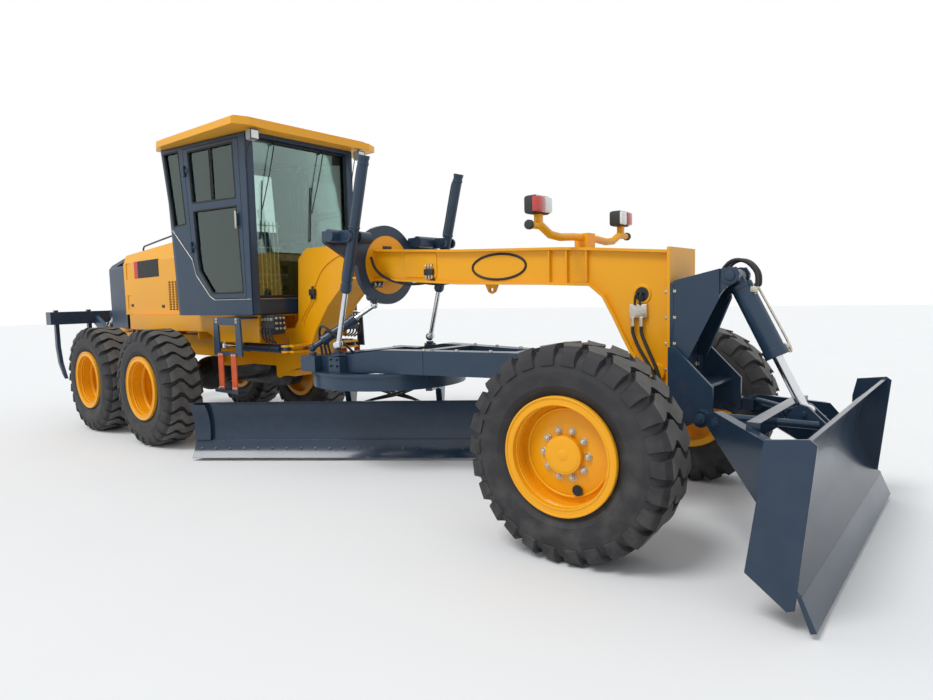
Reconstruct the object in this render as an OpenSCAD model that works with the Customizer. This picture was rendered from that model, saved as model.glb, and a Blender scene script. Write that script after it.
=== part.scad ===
// Motor grader with a front dozer blade and a rear ripper. Millimetres.
// +X is forward, +Y is the machine's left, +Z is up, and Z = 0 is the ground.

/* [Machine] */
// Distance from the front axle to the middle of the tandem
wheelbase = 6290; // [6100:10:6500]
// Distance between the two rear axles
tandem_pitch = 1540; // [1480:10:1600]
// Distance between the middles of the left and right tyres
track = 2155; // [2120:5:2250]
// How far the front axle stands ahead of the middle of the machine
front_axle_x = 3880; // [3800:10:4000]
// Distance from the front axle back to the hitch between the frames
hitch_back = 4450; // [4400:10:4500]
// Angle at which the front wheels are parked, to the left
parked_steer = 4.7; // [0:0.1:8]

/* [Wheels] */
// Outer diameter of a tyre over its lugs
tyre_d = 1345; // [1300:5:1380]
// Width of a tyre across its side walls
tyre_w = 445; // [420:5:460]
// Diameter of the rim over its flanges
rim_d = 735; // [700:5:760]
// Thickness of the wheel disc
disc_t = 22; // [14:1:30]
// Place of the front wheel disc, outboard of the tyre's middle
front_disc_y = 105; // [60:5:130]
// Place of the rear wheel disc, outboard of the tyre's middle
rear_disc_y = -60; // [-80:5:0]
// Radius of a hub
hub_r = 118; // [100:1:130]
// Radius of the spindle in a hub
spindle_r = 50; // [40:1:60]
// Radial clearance of a pin or spindle in its bore
run_fit = 0.08; // [0.02:0.01:0.1]
// Gap between two pieces that lie on each other
seat_gap = 0.3; // [0.2:0.05:0.5]

/* [Front axle] */
// Distance from a kingpin to the middle of its tyre
kingpin_in = 262; // [250:2:280]
// Distance from a lean pin to the middle of its tyre
lean_pin_in = 365; // [350:5:380]
// Height of the lean pins
lean_pin_z = 590; // [570:5:610]
// Radius of a kingpin and of a lean pin
axle_pin_r = 30; // [24:1:36]
// Width of the axle beam along the machine
axle_w = 170; // [140:5:200]
// Height of the axle's pivot below the nose
axle_pivot_z = 760; // [750:5:770]

/* [Front frame] */
// Width of the gooseneck's box section
beam_w = 300; // [260:10:340]
// Width of the gooseneck's flanges and of the nose
flange_w = 470; // [440:10:500]
// Thickness of a flange plate
flange_t = 22; // [16:1:28]
// Distance between the outsides of the tower's side plates
tower_w = 400; // [380:10:410]
// Thickness of the tower's side plates
tower_t = 30; // [20:1:40]
// Place of the saddle behind the front axle
saddle_back = 2755; // [2700:5:2800]
// Height of the saddle's middle
saddle_z = 1970; // [1950:5:1990]
// Outer radius of the round flange that carries the saddle
saddle_disc_r = 290; // [270:5:310]
// Outer radius of the saddle
saddle_r = 392; // [370:2:410]
// Half the distance between the two lift cylinders
lift_y = 640; // [610:5:670]
// Radius of the hitch pins
hitch_pin_r = 45; // [38:1:52]

/* [Drawbar and circle] */
// Place of the drawbar's ball behind the front axle
ball_back = 230; // [220:5:240]
// Height of the drawbar's ball
ball_z = 1000; // [985:5:1015]
// Radius of the drawbar's ball
ball_r = 76; // [70:1:80]
// Place of the circle's middle behind the front axle
circle_back = 2740; // [2700:5:2760]
// Outer radius of the circle
circle_r = 770; // [740:5:780]
// Height of the circle's underside
circle_z = 800; // [790:5:810]
// Height of the circle's ring
circle_h = 150; // [130:5:150]
// Depth of the drawbar's beams
drawbar_h = 150; // [130:5:155]
// Distance from the drawbar's middle to the middle of its rear corner lugs
lug_y = 640; // [610:5:670]

/* [Main blade] */
// Length of the main blade
blade_l = 3965; // [3800:5:4050]
// How far the blade's middle lies towards its near end from the circle's middle
blade_offset = 105; // [60:1:260]
// Angle of the blade in plan, from the machine's length
blade_angle = 34.4; // [30:0.1:40]
// Height of the blade's cutting edge over the ground
blade_z = 30; // [20:1:40]
// Inner radius of the blade's curve
blade_curve_r = 410; // [390:5:430]
// Thickness of the moldboard
moldboard_t = 20; // [14:1:26]
// Height of the top of the moldboard
blade_top_z = 605; // [580:5:620]
// Distance from the circle's middle forward to the cutting edge
blade_ahead = 149; // [140:1:160]
// Height of the cutting edge's bolted plate
edge_h = 170; // [150:5:200]

/* [Cylinders] */
// Outer radius of a lift cylinder's barrel
lift_barrel_r = 47; // [44:1:50]
// Radius of a lift cylinder's rod
lift_rod_r = 25; // [22:1:28]
// Outer radius of the smaller cylinders' barrels
small_barrel_r = 48; // [42:1:54]
// Radius of the smaller cylinders' rods
small_rod_r = 25; // [20:1:30]
// Outer radius of the dozer cylinder's barrel
dozer_barrel_r = 70; // [64:1:76]
// Radius of the dozer cylinder's rod
dozer_rod_r = 33; // [28:1:38]
// Radius of the pins at the cylinders' fixed eyes
eye_pin_r = 24; // [20:1:26]
// Radius of the pins at the rods' eyes
rod_pin_r = 15; // [12:1:18]
// Radial play of a rod's eye round its pin
eye_play = 16; // [14:1:18]
// Gap between a lift cylinder's rod end and its stud
stud_gap = 4.5; // [4:0.5:6]

/* [Front blade] */
// Width of the front blade over its side plates
dozer_w = 2600; // [2400:10:2700]
// Thickness of the front blade's plates
dozer_t = 16; // [12:1:24]
// Place of the front blade's pivots ahead of the front axle
dozer_pivot_x = 560; // [550:5:570]
// Height of the front blade's pivots
dozer_pivot_z = 812; // [805:1:820]
// Distance from the middle to a pivot of the front blade's arms
dozer_pivot_y = 355; // [350:1:360]

/* [Rear frame] */
// Half the width over the frame's skirts
skirt_y = 610; // [590:5:630]
// Height of the skirts' top
skirt_top = 1490; // [1480:5:1494]
// Height of the frame rails' underside
rail_z = 985; // [970:5:1000]
// Height of the frame rails
rail_h = 250; // [220:5:270]
// Width of a tandem case
tandem_w = 170; // [150:5:180]
// Height of a tandem case
tandem_h = 400; // [360:10:440]

/* [Hood] */
// Width of the hood
hood_w = 1100; // [1040:10:1160]
// Thickness of the hood's sheet
hood_t = 14; // [8:1:20]
// Height of the hood's top at its front
hood_front_z = 2470; // [2420:5:2500]
// Height of the hood's top at its rear
hood_rear_z = 2320; // [2280:5:2340]
// Radius of the hood's upper edges
hood_r = 110; // [80:5:140]
// Length of the radiator cowl behind the hood
cowl_l = 520; // [460:10:560]

/* [Cab] */
// Height of the cab floor's underside
cab_z = 1495; // [1490:1:1505]
// Height of the underside of the roof
roof_z = 3400; // [3380:5:3420]
// Thickness of the cab's walls
cab_t = 50; // [40:2:60]
// Half the width of the cab's front
cab_front_y = 718; // [700:2:730]
// Angle at which each cab side widens towards the rear
cab_flare = 7.1; // [6:0.1:8]
// Gap round a door
door_gap = 6; // [5:1:10]
// Thickness of the cab's glass
glass_t = 6; // [5:1:8]
// Height of the roof in its middle
roof_h = 110; // [90:5:130]

/* [Ripper] */
// Width of the ripper's beam
ripper_w = 2150; // [1900:10:2300]
// Number of ripper shanks
ripper_shanks = 5; // [3:2:5]

/* [Hidden] */
$fn = 48;

yellow = "#E69A0C";
roof_yellow = "#E8A21C";
blue_grey = "#2F4254";
dark = "#22272C";
chrome = "#C8CCD0";
rubber = "#26272A";
glass = "#7FA8A0";

hitch_x = front_axle_x - hitch_back;
tandem_x = front_axle_x - wheelbase - hitch_x;
axle_z = tyre_d / 2;
wheel_y = track / 2;
kingpin_y = wheel_y - kingpin_in;
lean_y = wheel_y - lean_pin_in;
ball_seat = 14;

// Vector helpers for outlines and for the cylinders' directions
function unit(v) = v / norm(v);
function normal_at(p, i) =
  let (d = unit(p[min(i + 1, len(p) - 1)] - p[max(i - 1, 0)])) [-d[1], d[0]];
function band(p, t) =
  concat(p, [for (i = [len(p) - 1:-1:0]) p[i] + t * normal_at(p, i)]);
function grown(p, g) = [
  for (i = [0:len(p) - 1])
    let (
      u = unit(p[i] - p[(i + len(p) - 1) % len(p)]),
      v = unit(p[(i + 1) % len(p)] - p[i]),
      nu = [u[1], -u[0]],
      nv = [v[1], -v[0]]
    ) p[i] + (nu + nv) * g / (1 + nu * nv)
];
function at(p, q, s) = p + s * unit(q - p);

// Places and directions that several pieces share
module in_front() translate([front_axle_x, 0, 0]) children();
module in_rear() translate([hitch_x, 0, 0]) children();
module both_sides() {
  children();
  mirror([0, 1, 0]) children();
}
module side_of(s) mirror([0, s > 0 ? 0 : 1, 0]) children();
module plate_xz(points, y, t)
  translate([0, y + t, 0]) rotate([90, 0, 0]) linear_extrude(t) polygon(points);
module plate_yz(points, x, t)
  translate([x, 0, 0]) rotate([90, 0, 90]) linear_extrude(t) polygon(points);
module bar_y(x, y0, y1, z, r)
  translate([x, min(y0, y1), z]) rotate([-90, 0, 0]) cylinder(r = r, h = abs(y1 - y0));
module bar_x(x0, x1, y, z, r)
  translate([min(x0, x1), y, z]) rotate([0, 90, 0]) cylinder(r = r, h = abs(x1 - x0));
module bar_z(x, y, z0, z1, r) translate([x, y, z0]) cylinder(r = r, h = z1 - z0);
module box(x0, x1, y0, y1, z0, z1)
  translate([x0, y0, z0]) cube([x1 - x0, y1 - y0, z1 - z0]);
module along(p, q) {
  d = q - p;
  translate(p) rotate([0, acos(d[2] / norm(d)), atan2(d[1], d[0])]) children();
}
module rod_between(p, q, r) along(p, q) cylinder(r = r, h = norm(q - p));
module link(p, q, r, t) {
  // A flat bar in the XZ plane with round ends, centred on y = 0
  a = atan2(q[1] - p[1], q[0] - p[0]);
  translate([p[0], 0, p[1]]) rotate([0, -a, 0]) {
    translate([0, -t / 2, -r]) cube([norm(q - p), t, 2 * r]);
    bar_y(0, -t / 2, t / 2, 0, r);
    bar_y(norm(q - p), -t / 2, t / 2, 0, r);
  }
}

// Wheels
bead_gap = 3;
bead_w = tyre_w * 0.8;
bead_r = rim_d / 2 - 42;
tread_h = 28;
module wheel_place(x, side, steer) {
  translate([x, side * wheel_y, axle_z])
    translate([0, -side * kingpin_in * (steer == 0 ? 0 : 1), 0])
      rotate([0, 0, steer])
        translate([0, side * kingpin_in * (steer == 0 ? 0 : 1), 0])
          mirror([0, side > 0 ? 0 : 1, 0])
            children();
}
lug_count = 26;
lug_w = 104;
lug_wave = 46;
module tyre_body(r, w)
  rotate([-90, 0, 0]) rotate_extrude($fn = 96)
    polygon([
      [bead_r + seat_gap, -bead_w / 2], [bead_r + 60, -bead_w / 2 - 4],
      [r * 0.72, -w], [r - 110, -w + 4], [r - 42, -w + 22], [r, -w + 60],
      [r, w - 60], [r - 42, w - 22], [r - 110, w - 4], [r * 0.72, w],
      [bead_r + 60, bead_w / 2 + 4], [bead_r + seat_gap, bead_w / 2]
    ]);
module tyre() {
  ro = tyre_d / 2;
  w = tyre_w / 2;
  color(rubber) difference() {
    union() {
      tyre_body(ro - tread_h, w - 6);
      // Wavy lugs across the tread, cut to the tyre's outer form
      intersection() {
        tyre_body(ro, w);
        for (i = [0:lug_count - 1])
          rotate([0, i * 360 / lug_count, 0]) translate([0, 0, ro - 120]) linear_extrude(140)
            polygon(band([[0, -w - 5], [0, -w * 0.74], [-lug_wave, -w * 0.3],
              [lug_wave, w * 0.3], [0, w * 0.74], [0, w + 5]], lug_w) -
              [for (k = [0:11]) [-lug_w / 2, 0]]);
      }
    }
    // Inside of the casing
    rotate([-90, 0, 0]) rotate_extrude($fn = 96)
      polygon([
        [bead_r - 5, bead_w / 2 - 34], [bead_r + 60, w - 62], [ro * 0.78, w - 38],
        [ro - 62, w - 110], [ro - 62, 110 - w], [ro * 0.78, 38 - w],
        [bead_r + 60, 62 - w], [bead_r - 5, 34 - bead_w / 2]
      ]);
  }
}
module rim(disc_y) {
  rf = rim_d / 2;
  f0 = bead_w / 2 + bead_gap;
  f1 = f0 + 32;
  color(yellow) rotate([-90, 0, 0]) difference() {
    union() {
      rotate_extrude($fn = 96)
        polygon([
          [bead_r - 14, -f1], [rf - 6, -f1], [rf, -f1 + 6], [rf, -f0 - 6],
          [rf - 8, -f0], [bead_r, -f0], [bead_r, f0], [rf - 8, f0],
          [rf, f0 + 6], [rf, f1 - 6], [rf - 6, f1], [bead_r - 14, f1]
        ]);
      rotate_extrude($fn = 96)
        polygon([
          [0, disc_y - disc_t], [bead_r - 10, disc_y - disc_t - 34],
          [bead_r - 10, disc_y - 34], [hub_r + 60, disc_y], [0, disc_y]
        ]);
      translate([0, 0, disc_y - 110]) cylinder(r = hub_r, h = 160);
      for (i = [0:9])
        rotate(i * 36) translate([148, 0, disc_y - 4]) cylinder(r = 15, h = 26, $fn = 6);
    }
    translate([0, 0, disc_y - 111]) cylinder(r = spindle_r + run_fit, h = 121);
  }
}

module front_wheel_place(side)
  wheel_place(front_axle_x, side, parked_steer) children();
module middle_wheel_place(side)
  wheel_place(hitch_x + tandem_x + tandem_pitch / 2, side, 0) children();
module rear_wheel_place(side)
  wheel_place(hitch_x + tandem_x - tandem_pitch / 2, side, 0) children();

module front_left_tyre() front_wheel_place(1) tyre();
module front_left_rim() front_wheel_place(1) rim(front_disc_y);
module front_right_tyre() front_wheel_place(-1) tyre();
module front_right_rim() front_wheel_place(-1) rim(front_disc_y);
module middle_left_tyre() middle_wheel_place(1) tyre();
module middle_left_rim() middle_wheel_place(1) rim(rear_disc_y);
module middle_right_tyre() middle_wheel_place(-1) tyre();
module middle_right_rim() middle_wheel_place(-1) rim(rear_disc_y);
module rear_left_tyre() rear_wheel_place(1) tyre();
module rear_left_rim() rear_wheel_place(1) rim(rear_disc_y);
module rear_right_tyre() rear_wheel_place(-1) tyre();
module rear_right_rim() rear_wheel_place(-1) rim(rear_disc_y);

// Front axle with its lean brackets, knuckles and tie rod
ear_z = 118;
ear_t = 40;
bracket_in = 58;
module front_axle() color(blue_grey) in_front() {
  difference() {
    plate_yz([
      [-lean_y + 60, 530], [-lean_y + 60, 660], [-300, 720], [-120, axle_pivot_z + 90],
      [120, axle_pivot_z + 90], [300, 720], [lean_y - 60, 660], [lean_y - 60, 530],
      [200, 590], [-200, 590]
    ], -axle_w / 2 + 20, axle_w - 40);
    bar_x(-axle_w, axle_w, 0, axle_pivot_z, axle_pin_r + run_fit);
  }
  both_sides() {
    for (s = [-1, 1])
      translate([s * 75 - 15, 0, 0]) {
        box(0, 30, lean_y - 90, lean_y, lean_pin_z - 52, lean_pin_z + 52);
        bar_x(0, 30, lean_y, lean_pin_z, 52);
      }
    bar_x(-76, 76, lean_y, lean_pin_z, axle_pin_r);
    box(-85, 85, lean_y - 100, lean_y - 60, 530, 660);
  }
}
module lean_bracket(side) color(blue_grey) in_front() side_of(side) {
  z0 = axle_z - ear_z;
  z1 = axle_z + ear_z;
  difference() {
    union() {
      bar_x(-bracket_in, bracket_in, lean_y, lean_pin_z, 50);
      box(-bracket_in, bracket_in, lean_y - 8, lean_y + 40, z0 - ear_t, z1 + ear_t);
      for (z = [z0 - ear_t, z1]) {
        box(-bracket_in, bracket_in, lean_y, kingpin_y, z, z + ear_t);
        bar_z(0, kingpin_y, z, z + ear_t, bracket_in);
      }
      bar_z(0, kingpin_y, z0 - ear_t, z1 + ear_t, axle_pin_r);
    }
    bar_x(-100, 100, lean_y, lean_pin_z, axle_pin_r + run_fit);
  }
}
module knuckle(side) color(blue_grey)
  in_front() side_of(side) translate([0, kingpin_y, 0]) rotate([0, 0, side * parked_steer]) {
    difference() {
      union() {
        bar_z(0, 0, axle_z - ear_z + 2, axle_z + ear_z - 2, 48);
        bar_y(0, 0, kingpin_in + front_disc_y - 2, axle_z, spindle_r);
        bar_y(0, 30, kingpin_in + front_disc_y - 115, axle_z, spindle_r + 14);
      }
      bar_z(0, 0, axle_z - ear_z, axle_z + ear_z, axle_pin_r + run_fit);
    }
  }
module left_lean_bracket() lean_bracket(1);
module right_lean_bracket() lean_bracket(-1);
module left_knuckle() knuckle(1);
module right_knuckle() knuckle(-1);

// Front frame: gooseneck, nose and rear tower with the hitch forks
beam_top = [
  [-3330, 2190], [-2740, 2120], [-1640, 2049], [-590, 2001], [-340, 1982], [290, 1925]
];
beam_bottom = [
  [-3180, 1850], [-2660, 1814], [-1650, 1744], [-785, 1716], [-357, 1695], [-250, 1610],
  [-170, 1470], [-88, 1311], [-30, 1205], [52, 1110]
];
fork_z = [[780, 850], [1250, 1320]];
rib_x = [-714, -556, -383];
module front_frame() color(yellow) in_front() {
  difference() {
    union() {
      plate_xz(concat(beam_bottom, [[60, 1060], [270, 1060], [270, 1925]],
        [for (i = [4:-1:0]) beam_top[i]]), -beam_w / 2, beam_w);
      plate_xz(band(beam_top, -flange_t), -flange_w / 2 + 50, flange_w - 100);
      plate_xz(band(beam_bottom, flange_t), -flange_w / 2 + 50, flange_w - 100);
      // Nose plate and nose block over the axle
      box(270, 292, -flange_w / 2, flange_w / 2, 860, 1945);
      box(-120, 270, -beam_w / 2, beam_w / 2, 880, 1110);
      for (x = [-150, 125]) box(x, x + 55, -105, 105, axle_pivot_z - 10, 900);
      for (x = [-150, 125]) bar_x(x, x + 55, 0, axle_pivot_z, 75);
      bar_x(-150, 180, 0, axle_pivot_z, axle_pin_r);
      // Stiffeners on the webs and the lug under the beam
      for (x = rib_x)
        both_sides() box(x - 7, x + 7, beam_w / 2 - 2, flange_w / 2 - 58, 1730, 1990);
      plate_xz([[-1480, 1745], [-1445, 1672], [-1410, 1655], [-1375, 1672], [-1340, 1745]],
        -14, 28);
      // Round lug on the nose for the tie-down
      both_sides() bar_y(165, beam_w / 2 - 10, beam_w / 2 + 25, 1068, 62);
      // Cup for the drawbar's ball
      bar_x(-ball_back - 12, -120, 0, ball_z, ball_r + ball_seat + 32);
      // Round flange that carries the saddle
      translate([-saddle_back - 30, 0, saddle_z]) rotate([0, 90, 0])
        cylinder(r = saddle_disc_r, h = 60, $fn = 96);
      tower();
      lamp_mast();
    }
    bar_y(165, -flange_w, flange_w, 1068, 24);
    bar_y(-1410, -30, 30, 1692, 20);
    translate([-ball_back, 0, ball_z]) rotate([0, 90, 0])
      sphere(r = ball_r + ball_seat + seat_gap);
    for (z = fork_z)
      bar_z(-hitch_back, 0, z[0] - 1, z[1] + 1, hitch_pin_r + run_fit);
  }
}
module tower() {
  outline = [
    [-4440, 780], [-4405, 745], [-3900, 930], [-3655, 1320], [-3450, 1570], [-3225, 1755],
    [-3080, 1840], [-2980, 2148], [-3330, 2195], [-3780, 2195], [-3925, 2090],
    [-3975, 1420], [-4050, 1325], [-4430, 1325], [-4430, 1245], [-4180, 1225],
    [-4180, 1060], [-4430, 1035]
  ];
  both_sides() plate_xz(outline, tower_w / 2 - tower_t, tower_t);
  plate_xz(band([[-4380, 760], [-3900, 935], [-3655, 1325], [-3450, 1575], [-3225, 1762],
    [-3085, 1850]], flange_t), -tower_w / 2 + 5, tower_w - 10);
  plate_xz([[-3780, 2195], [-3325, 2195], [-3325, 2170], [-3780, 2170]],
    -tower_w / 2 + 5, tower_w - 10);
  plate_xz([[-3965, 1500], [-3915, 2086], [-3770, 2186], [-3770, 2150], [-3890, 2070],
    [-3940, 1500]], -tower_w / 2 + 5, tower_w - 10);
  for (z = fork_z) {
    translate([-hitch_back, 0, z[0]]) cylinder(r = 160, h = z[1] - z[0]);
    box(-hitch_back, -4100, -160, 160, z[0], z[1]);
    box(-4330, -4100, -tower_w / 2 + 5, tower_w / 2 - 5, z[0], z[1]);
  }
  // Lugs for the hitch cylinders
  both_sides()
    for (z = [hitch_cyl_z - 42, hitch_cyl_z + 20])
      difference() {
        union() {
          box(-3900, -3740, tower_w / 2 - 5, hitch_eye[1], z, z + 22);
          translate([hitch_eye[0], hitch_eye[1], z]) cylinder(r = 58, h = 22);
        }
        translate([hitch_eye[0], hitch_eye[1], z - 1]) cylinder(r = eye_pin_r + run_fit, h = 24);
      }
}

// Saddle: ring with two arms that end in the lift cylinders' forks
lift_top = [-2300, lift_y, 2890];
lift_low = [-2770, lift_y, 1163];
trunnion_s = 715;
trunnion = at(lift_top, lift_low, trunnion_s);
arm_x = trunnion[0] - 138;
arm_z = trunnion[2] + 10;
fork_in = lift_barrel_r + 8;
module saddle() color(blue_grey) in_front() {
  difference() {
    union() {
      translate([-saddle_back - 28, 0, saddle_z]) rotate([0, 90, 0])
        cylinder(r = saddle_r, h = 56, $fn = 72);
      both_sides() {
        plate_yz([[120, saddle_z + 250], [lift_y + 120, arm_z + 50],
          [lift_y + 120, arm_z - 50], [300, saddle_z - 60]], -saddle_back - 28, 56);
        bar_y(arm_x, 330, lift_y + 170, arm_z, 58);
        box(-saddle_back, arm_x, 330, lift_y + 110, arm_z - 45, arm_z + 45);
        for (y = [lift_y - fork_in - 26, lift_y + fork_in])
          difference() {
            union() {
              box(arm_x, trunnion[0], y, y + 26, trunnion[2] - 52, trunnion[2] + 52);
              bar_y(trunnion[0], y, y + 26, trunnion[2], 52);
            }
            bar_y(trunnion[0], y - 1, y + 27, trunnion[2], eye_pin_r + run_fit);
          }
      }
      // Lug for the centre shift cylinder
      translate([-saddle_back, 0, 0])
        plate_yz([[-250, saddle_z - 330], [-230, saddle_z - 350], [-205, saddle_z - 355],
          [-110, saddle_z - 362], [-60, saddle_z - 300], [-250, saddle_z - 260]], -28, 56);
      rod_between(shift_top + [0, 0, 26], shift_top + [0, 0, 64], 40);
    }
    bar_x(-saddle_back - 50, -saddle_back + 50, 0, saddle_z, saddle_disc_r + seat_gap,
      $fn = 96);
    translate(shift_top) sphere(r = 34 + seat_gap);
  }
}

// Cylinders: the barrel runs from p towards q, the rod slides in its bore
module cyl_barrel(p, q, s0, s1, r, rod_r)
  along(p, q)
    difference() {
      union() {
        translate([0, 0, s0]) cylinder(r = r, h = s1 - s0);
        translate([0, 0, s1 - 60]) cylinder(r = r + 6, h = 60);
        translate([0, 0, s0]) cylinder(r = r + 4, h = 30);
      }
      translate([0, 0, s0 + 25]) cylinder(r = rod_r + run_fit, h = s1);
    }
module cyl_rod(p, q, s0, s1, r)
  along(p, q) translate([0, 0, s0]) cylinder(r = r, h = s1 - s0);

lift_len = norm(lift_top - lift_low);
module lift_barrel(side) color(blue_grey) in_front() side_of(side) {
  cyl_barrel(lift_top, lift_low, 0, 1215, lift_barrel_r, lift_rod_r);
  for (y = [lift_y - fork_in - 34, lift_y + lift_barrel_r - 20])
    bar_y(trunnion[0], y, y + 54 - 2 + fork_in - lift_barrel_r, trunnion[2], eye_pin_r);
}
module lift_rod(side) color(chrome) in_front() side_of(side) {
  cyl_rod(lift_top, lift_low, 620, lift_len - 60, lift_rod_r);
  translate(at(lift_top, lift_low, lift_len - 62)) {
    translate([0, 0, -30]) cylinder(r = 40, h = 50);
  }
  translate(lift_low + [0, lift_y - lug_y, 46]) sphere(r = 46);
}
module left_lift_barrel() lift_barrel(1);
module right_lift_barrel() lift_barrel(-1);
module left_lift_rod() lift_rod(1);
module right_lift_rod() lift_rod(-1);

shift_top = [-saddle_back, -170, saddle_z - 400];
shift_low = [-saddle_back - 345, -lug_y - 40, 1175];
shift_len = norm(shift_low - shift_top);
module shift_rod() color(chrome) in_front() {
  translate(shift_top) sphere(r = 34);
  cyl_rod(shift_top, shift_low, 0, 450, small_rod_r - 3);
}
module shift_barrel() color(blue_grey) in_front() {
  cyl_barrel(shift_low, shift_top, 115, 500, small_barrel_r, small_rod_r - 3);
  translate(shift_low) sphere(r = 38);
  rod_between(shift_low, at(shift_low, shift_top, 125), 26);
}

// Drawbar: ball, two beams, cross members and the circle's guide shoes
drawbar_z = circle_z + circle_h + seat_gap;
drawbar_top = drawbar_z + drawbar_h;
module drawbar_ball_shell() color(dark) in_front()
  difference() {
    translate([-ball_back, 0, ball_z]) rotate([0, 90, 0]) sphere(r = ball_r + ball_seat);
    translate([-ball_back, 0, ball_z]) rotate([0, 90, 0]) sphere(r = ball_r + seat_gap);
    translate([-ball_back - 200 - 12, -150, ball_z - 150]) cube([200, 300, 300]);
  }
module drawbar() color(blue_grey) in_front() {
  translate([-ball_back, 0, ball_z]) rotate([0, 90, 0]) sphere(r = ball_r);
  bar_x(-ball_back - 220, -ball_back, 0, ball_z, 42);
  intersection() {
    translate([0, 0, drawbar_z]) linear_extrude(drawbar_h + 80) {
      polygon([[-ball_back - 190, -80], [-ball_back - 190, 80], [-900, 200],
        [-2900, 640], [-3230, 640], [-3230, 520], [-2860, 470], [-900, 60],
        [-900, -60], [-2860, -470], [-3230, -520], [-3230, -640], [-2900, -640],
        [-900, -200]]);
      translate([-1100, -240]) square([240, 480]);
      translate([-3160, -560]) square([150, 1120]);
      translate([-2000, -420]) square([120, 840]);
    }
    // Deep beams ahead of the circle that slope down over it
    plate_xz([[-3231, drawbar_z], [-3231, drawbar_top], [-2800, drawbar_top],
      [-2330, drawbar_top + 65], [-900, drawbar_top + 65], [-400, drawbar_top - 30],
      [-400, drawbar_z]], -700, 1400);
  }
  both_sides() {
    box(-2850, -2690, 600, lug_y + 50, drawbar_z, drawbar_top);
    bar_z(lift_low[0], lug_y, drawbar_top - 1, lift_low[2] - stud_gap, 40);
  }
  // Corner lug and stud of the centre shift cylinder
  box(-3230, -3010, -lug_y - 90, -540, drawbar_z, drawbar_top);
  bar_z(shift_low[0], shift_low[1], drawbar_top - 1, shift_low[2] - 38 - stud_gap, 40);
}

// Circle: toothed ring with two arms that carry the blade
module in_circle()
  in_front() translate([-circle_back, 0, 0]) rotate([0, 0, blade_angle])
    mirror([0, 1, 0]) children();
circle_arm_s = 480;
tilt_pin = [-135, 190];
module blade_circle() color(blue_grey) {
  in_front() translate([-circle_back, 0, circle_z]) difference() {
    union() {
      cylinder(r = circle_r, h = circle_h, $fn = 96);
      translate([0, 0, circle_h - 24]) cylinder(r = circle_r + 16, h = 24, $fn = 96);
    }
    translate([0, 0, -1]) cylinder(r = circle_r - 90, h = circle_h + 2, $fn = 96);
  }
  in_circle() difference() {
    union() {
      for (s = [-circle_arm_s, circle_arm_s]) {
        translate([s - 30, 0, 0])
          plate_yz([[-560, circle_z + 8], [560, circle_z + 8], [560, circle_z - 30],
            [120, circle_z - 60], [-80, circle_z - 110], [-168, 480], [-158, 268],
            [tilt_pin[0] + 58, tilt_pin[1]], [tilt_pin[0] - 58, tilt_pin[1]],
            [-290, 480], [-430, circle_z - 60], [-560, circle_z - 30]], 0, 60);
        translate([s - 30, 0, 0]) bar_x(0, 60, tilt_pin[0], tilt_pin[1], 60);
      }
      box(-circle_arm_s, circle_arm_s, -330, -230, circle_z - 110, circle_z - 24);
    }
    bar_x(-600, 600, tilt_pin[0], tilt_pin[1], eye_pin_r + run_fit);
  }
}

// Blade carrier, moldboard and cutting edge, in the circle's own axes
blade_curve_z = 320;
curve_t = blade_ahead + sqrt(pow(blade_curve_r, 2) - pow(blade_curve_z - blade_z, 2));
rail_zs = [170, 460];
carrier_s = circle_arm_s + 75;
module arc_band(r0, r1, z0, z1, s0, s1)
  intersection() {
    translate([s0, curve_t, blade_curve_z]) rotate([0, 90, 0]) difference() {
      cylinder(r = r1, h = s1 - s0, $fn = 96);
      translate([0, 0, -1]) cylinder(r = r0, h = s1 - s0 + 2, $fn = 96);
    }
    box(s0, s1, curve_t - r1 - 10, curve_t, z0, z1);
  }
near_s = -blade_offset - blade_l / 2;
far_s = -blade_offset + blade_l / 2;
edge_t = 20;
module moldboard() color(blue_grey) in_circle() {
  arc_band(blade_curve_r + edge_t, blade_curve_r + edge_t + moldboard_t, blade_z + 60,
    blade_top_z, near_s, far_s);
  // Rails on the back for the side shift
  for (z = rail_zs)
    box(-1350, 1350, -60, 24, z - 20, z + 20);
  box(1130, 1180, -118, 12, 270, 370);
  bar_x(-230, 1150, -75, 320, small_rod_r);
}
module cutting_edge() color(dark) in_circle() {
  arc_band(blade_curve_r, blade_curve_r + edge_t - seat_gap, blade_z, blade_z + edge_h,
    near_s, far_s);
}
module blade_carrier() color(blue_grey) in_circle() {
  difference() {
    union() {
      for (s = [-1, 1])
        translate([s * carrier_s - 25, 0, 0]) {
          plate_yz([[tilt_pin[0] - 60, 120], [-22, 110], [-22, 520], [-90, 520],
            [tilt_pin[0] - 40, 300]], 0, 50);
          bar_x(0, 50, tilt_pin[0], tilt_pin[1], 68);
        }
      bar_x(-carrier_s, carrier_s, tilt_pin[0], tilt_pin[1], eye_pin_r);
      // Side shift cylinder's barrel, carried between the plates
      bar_x(-800, 380, -75, 320, small_barrel_r);
    }
    for (z = rail_zs)
      box(-1400, 1400, -61, 60, z - 21, z + 21);
    bar_x(-780, 400, -75, 320, small_rod_r + run_fit);
    bar_x(400, 800, -75, 320, small_rod_r + 6);
  }
}

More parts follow.
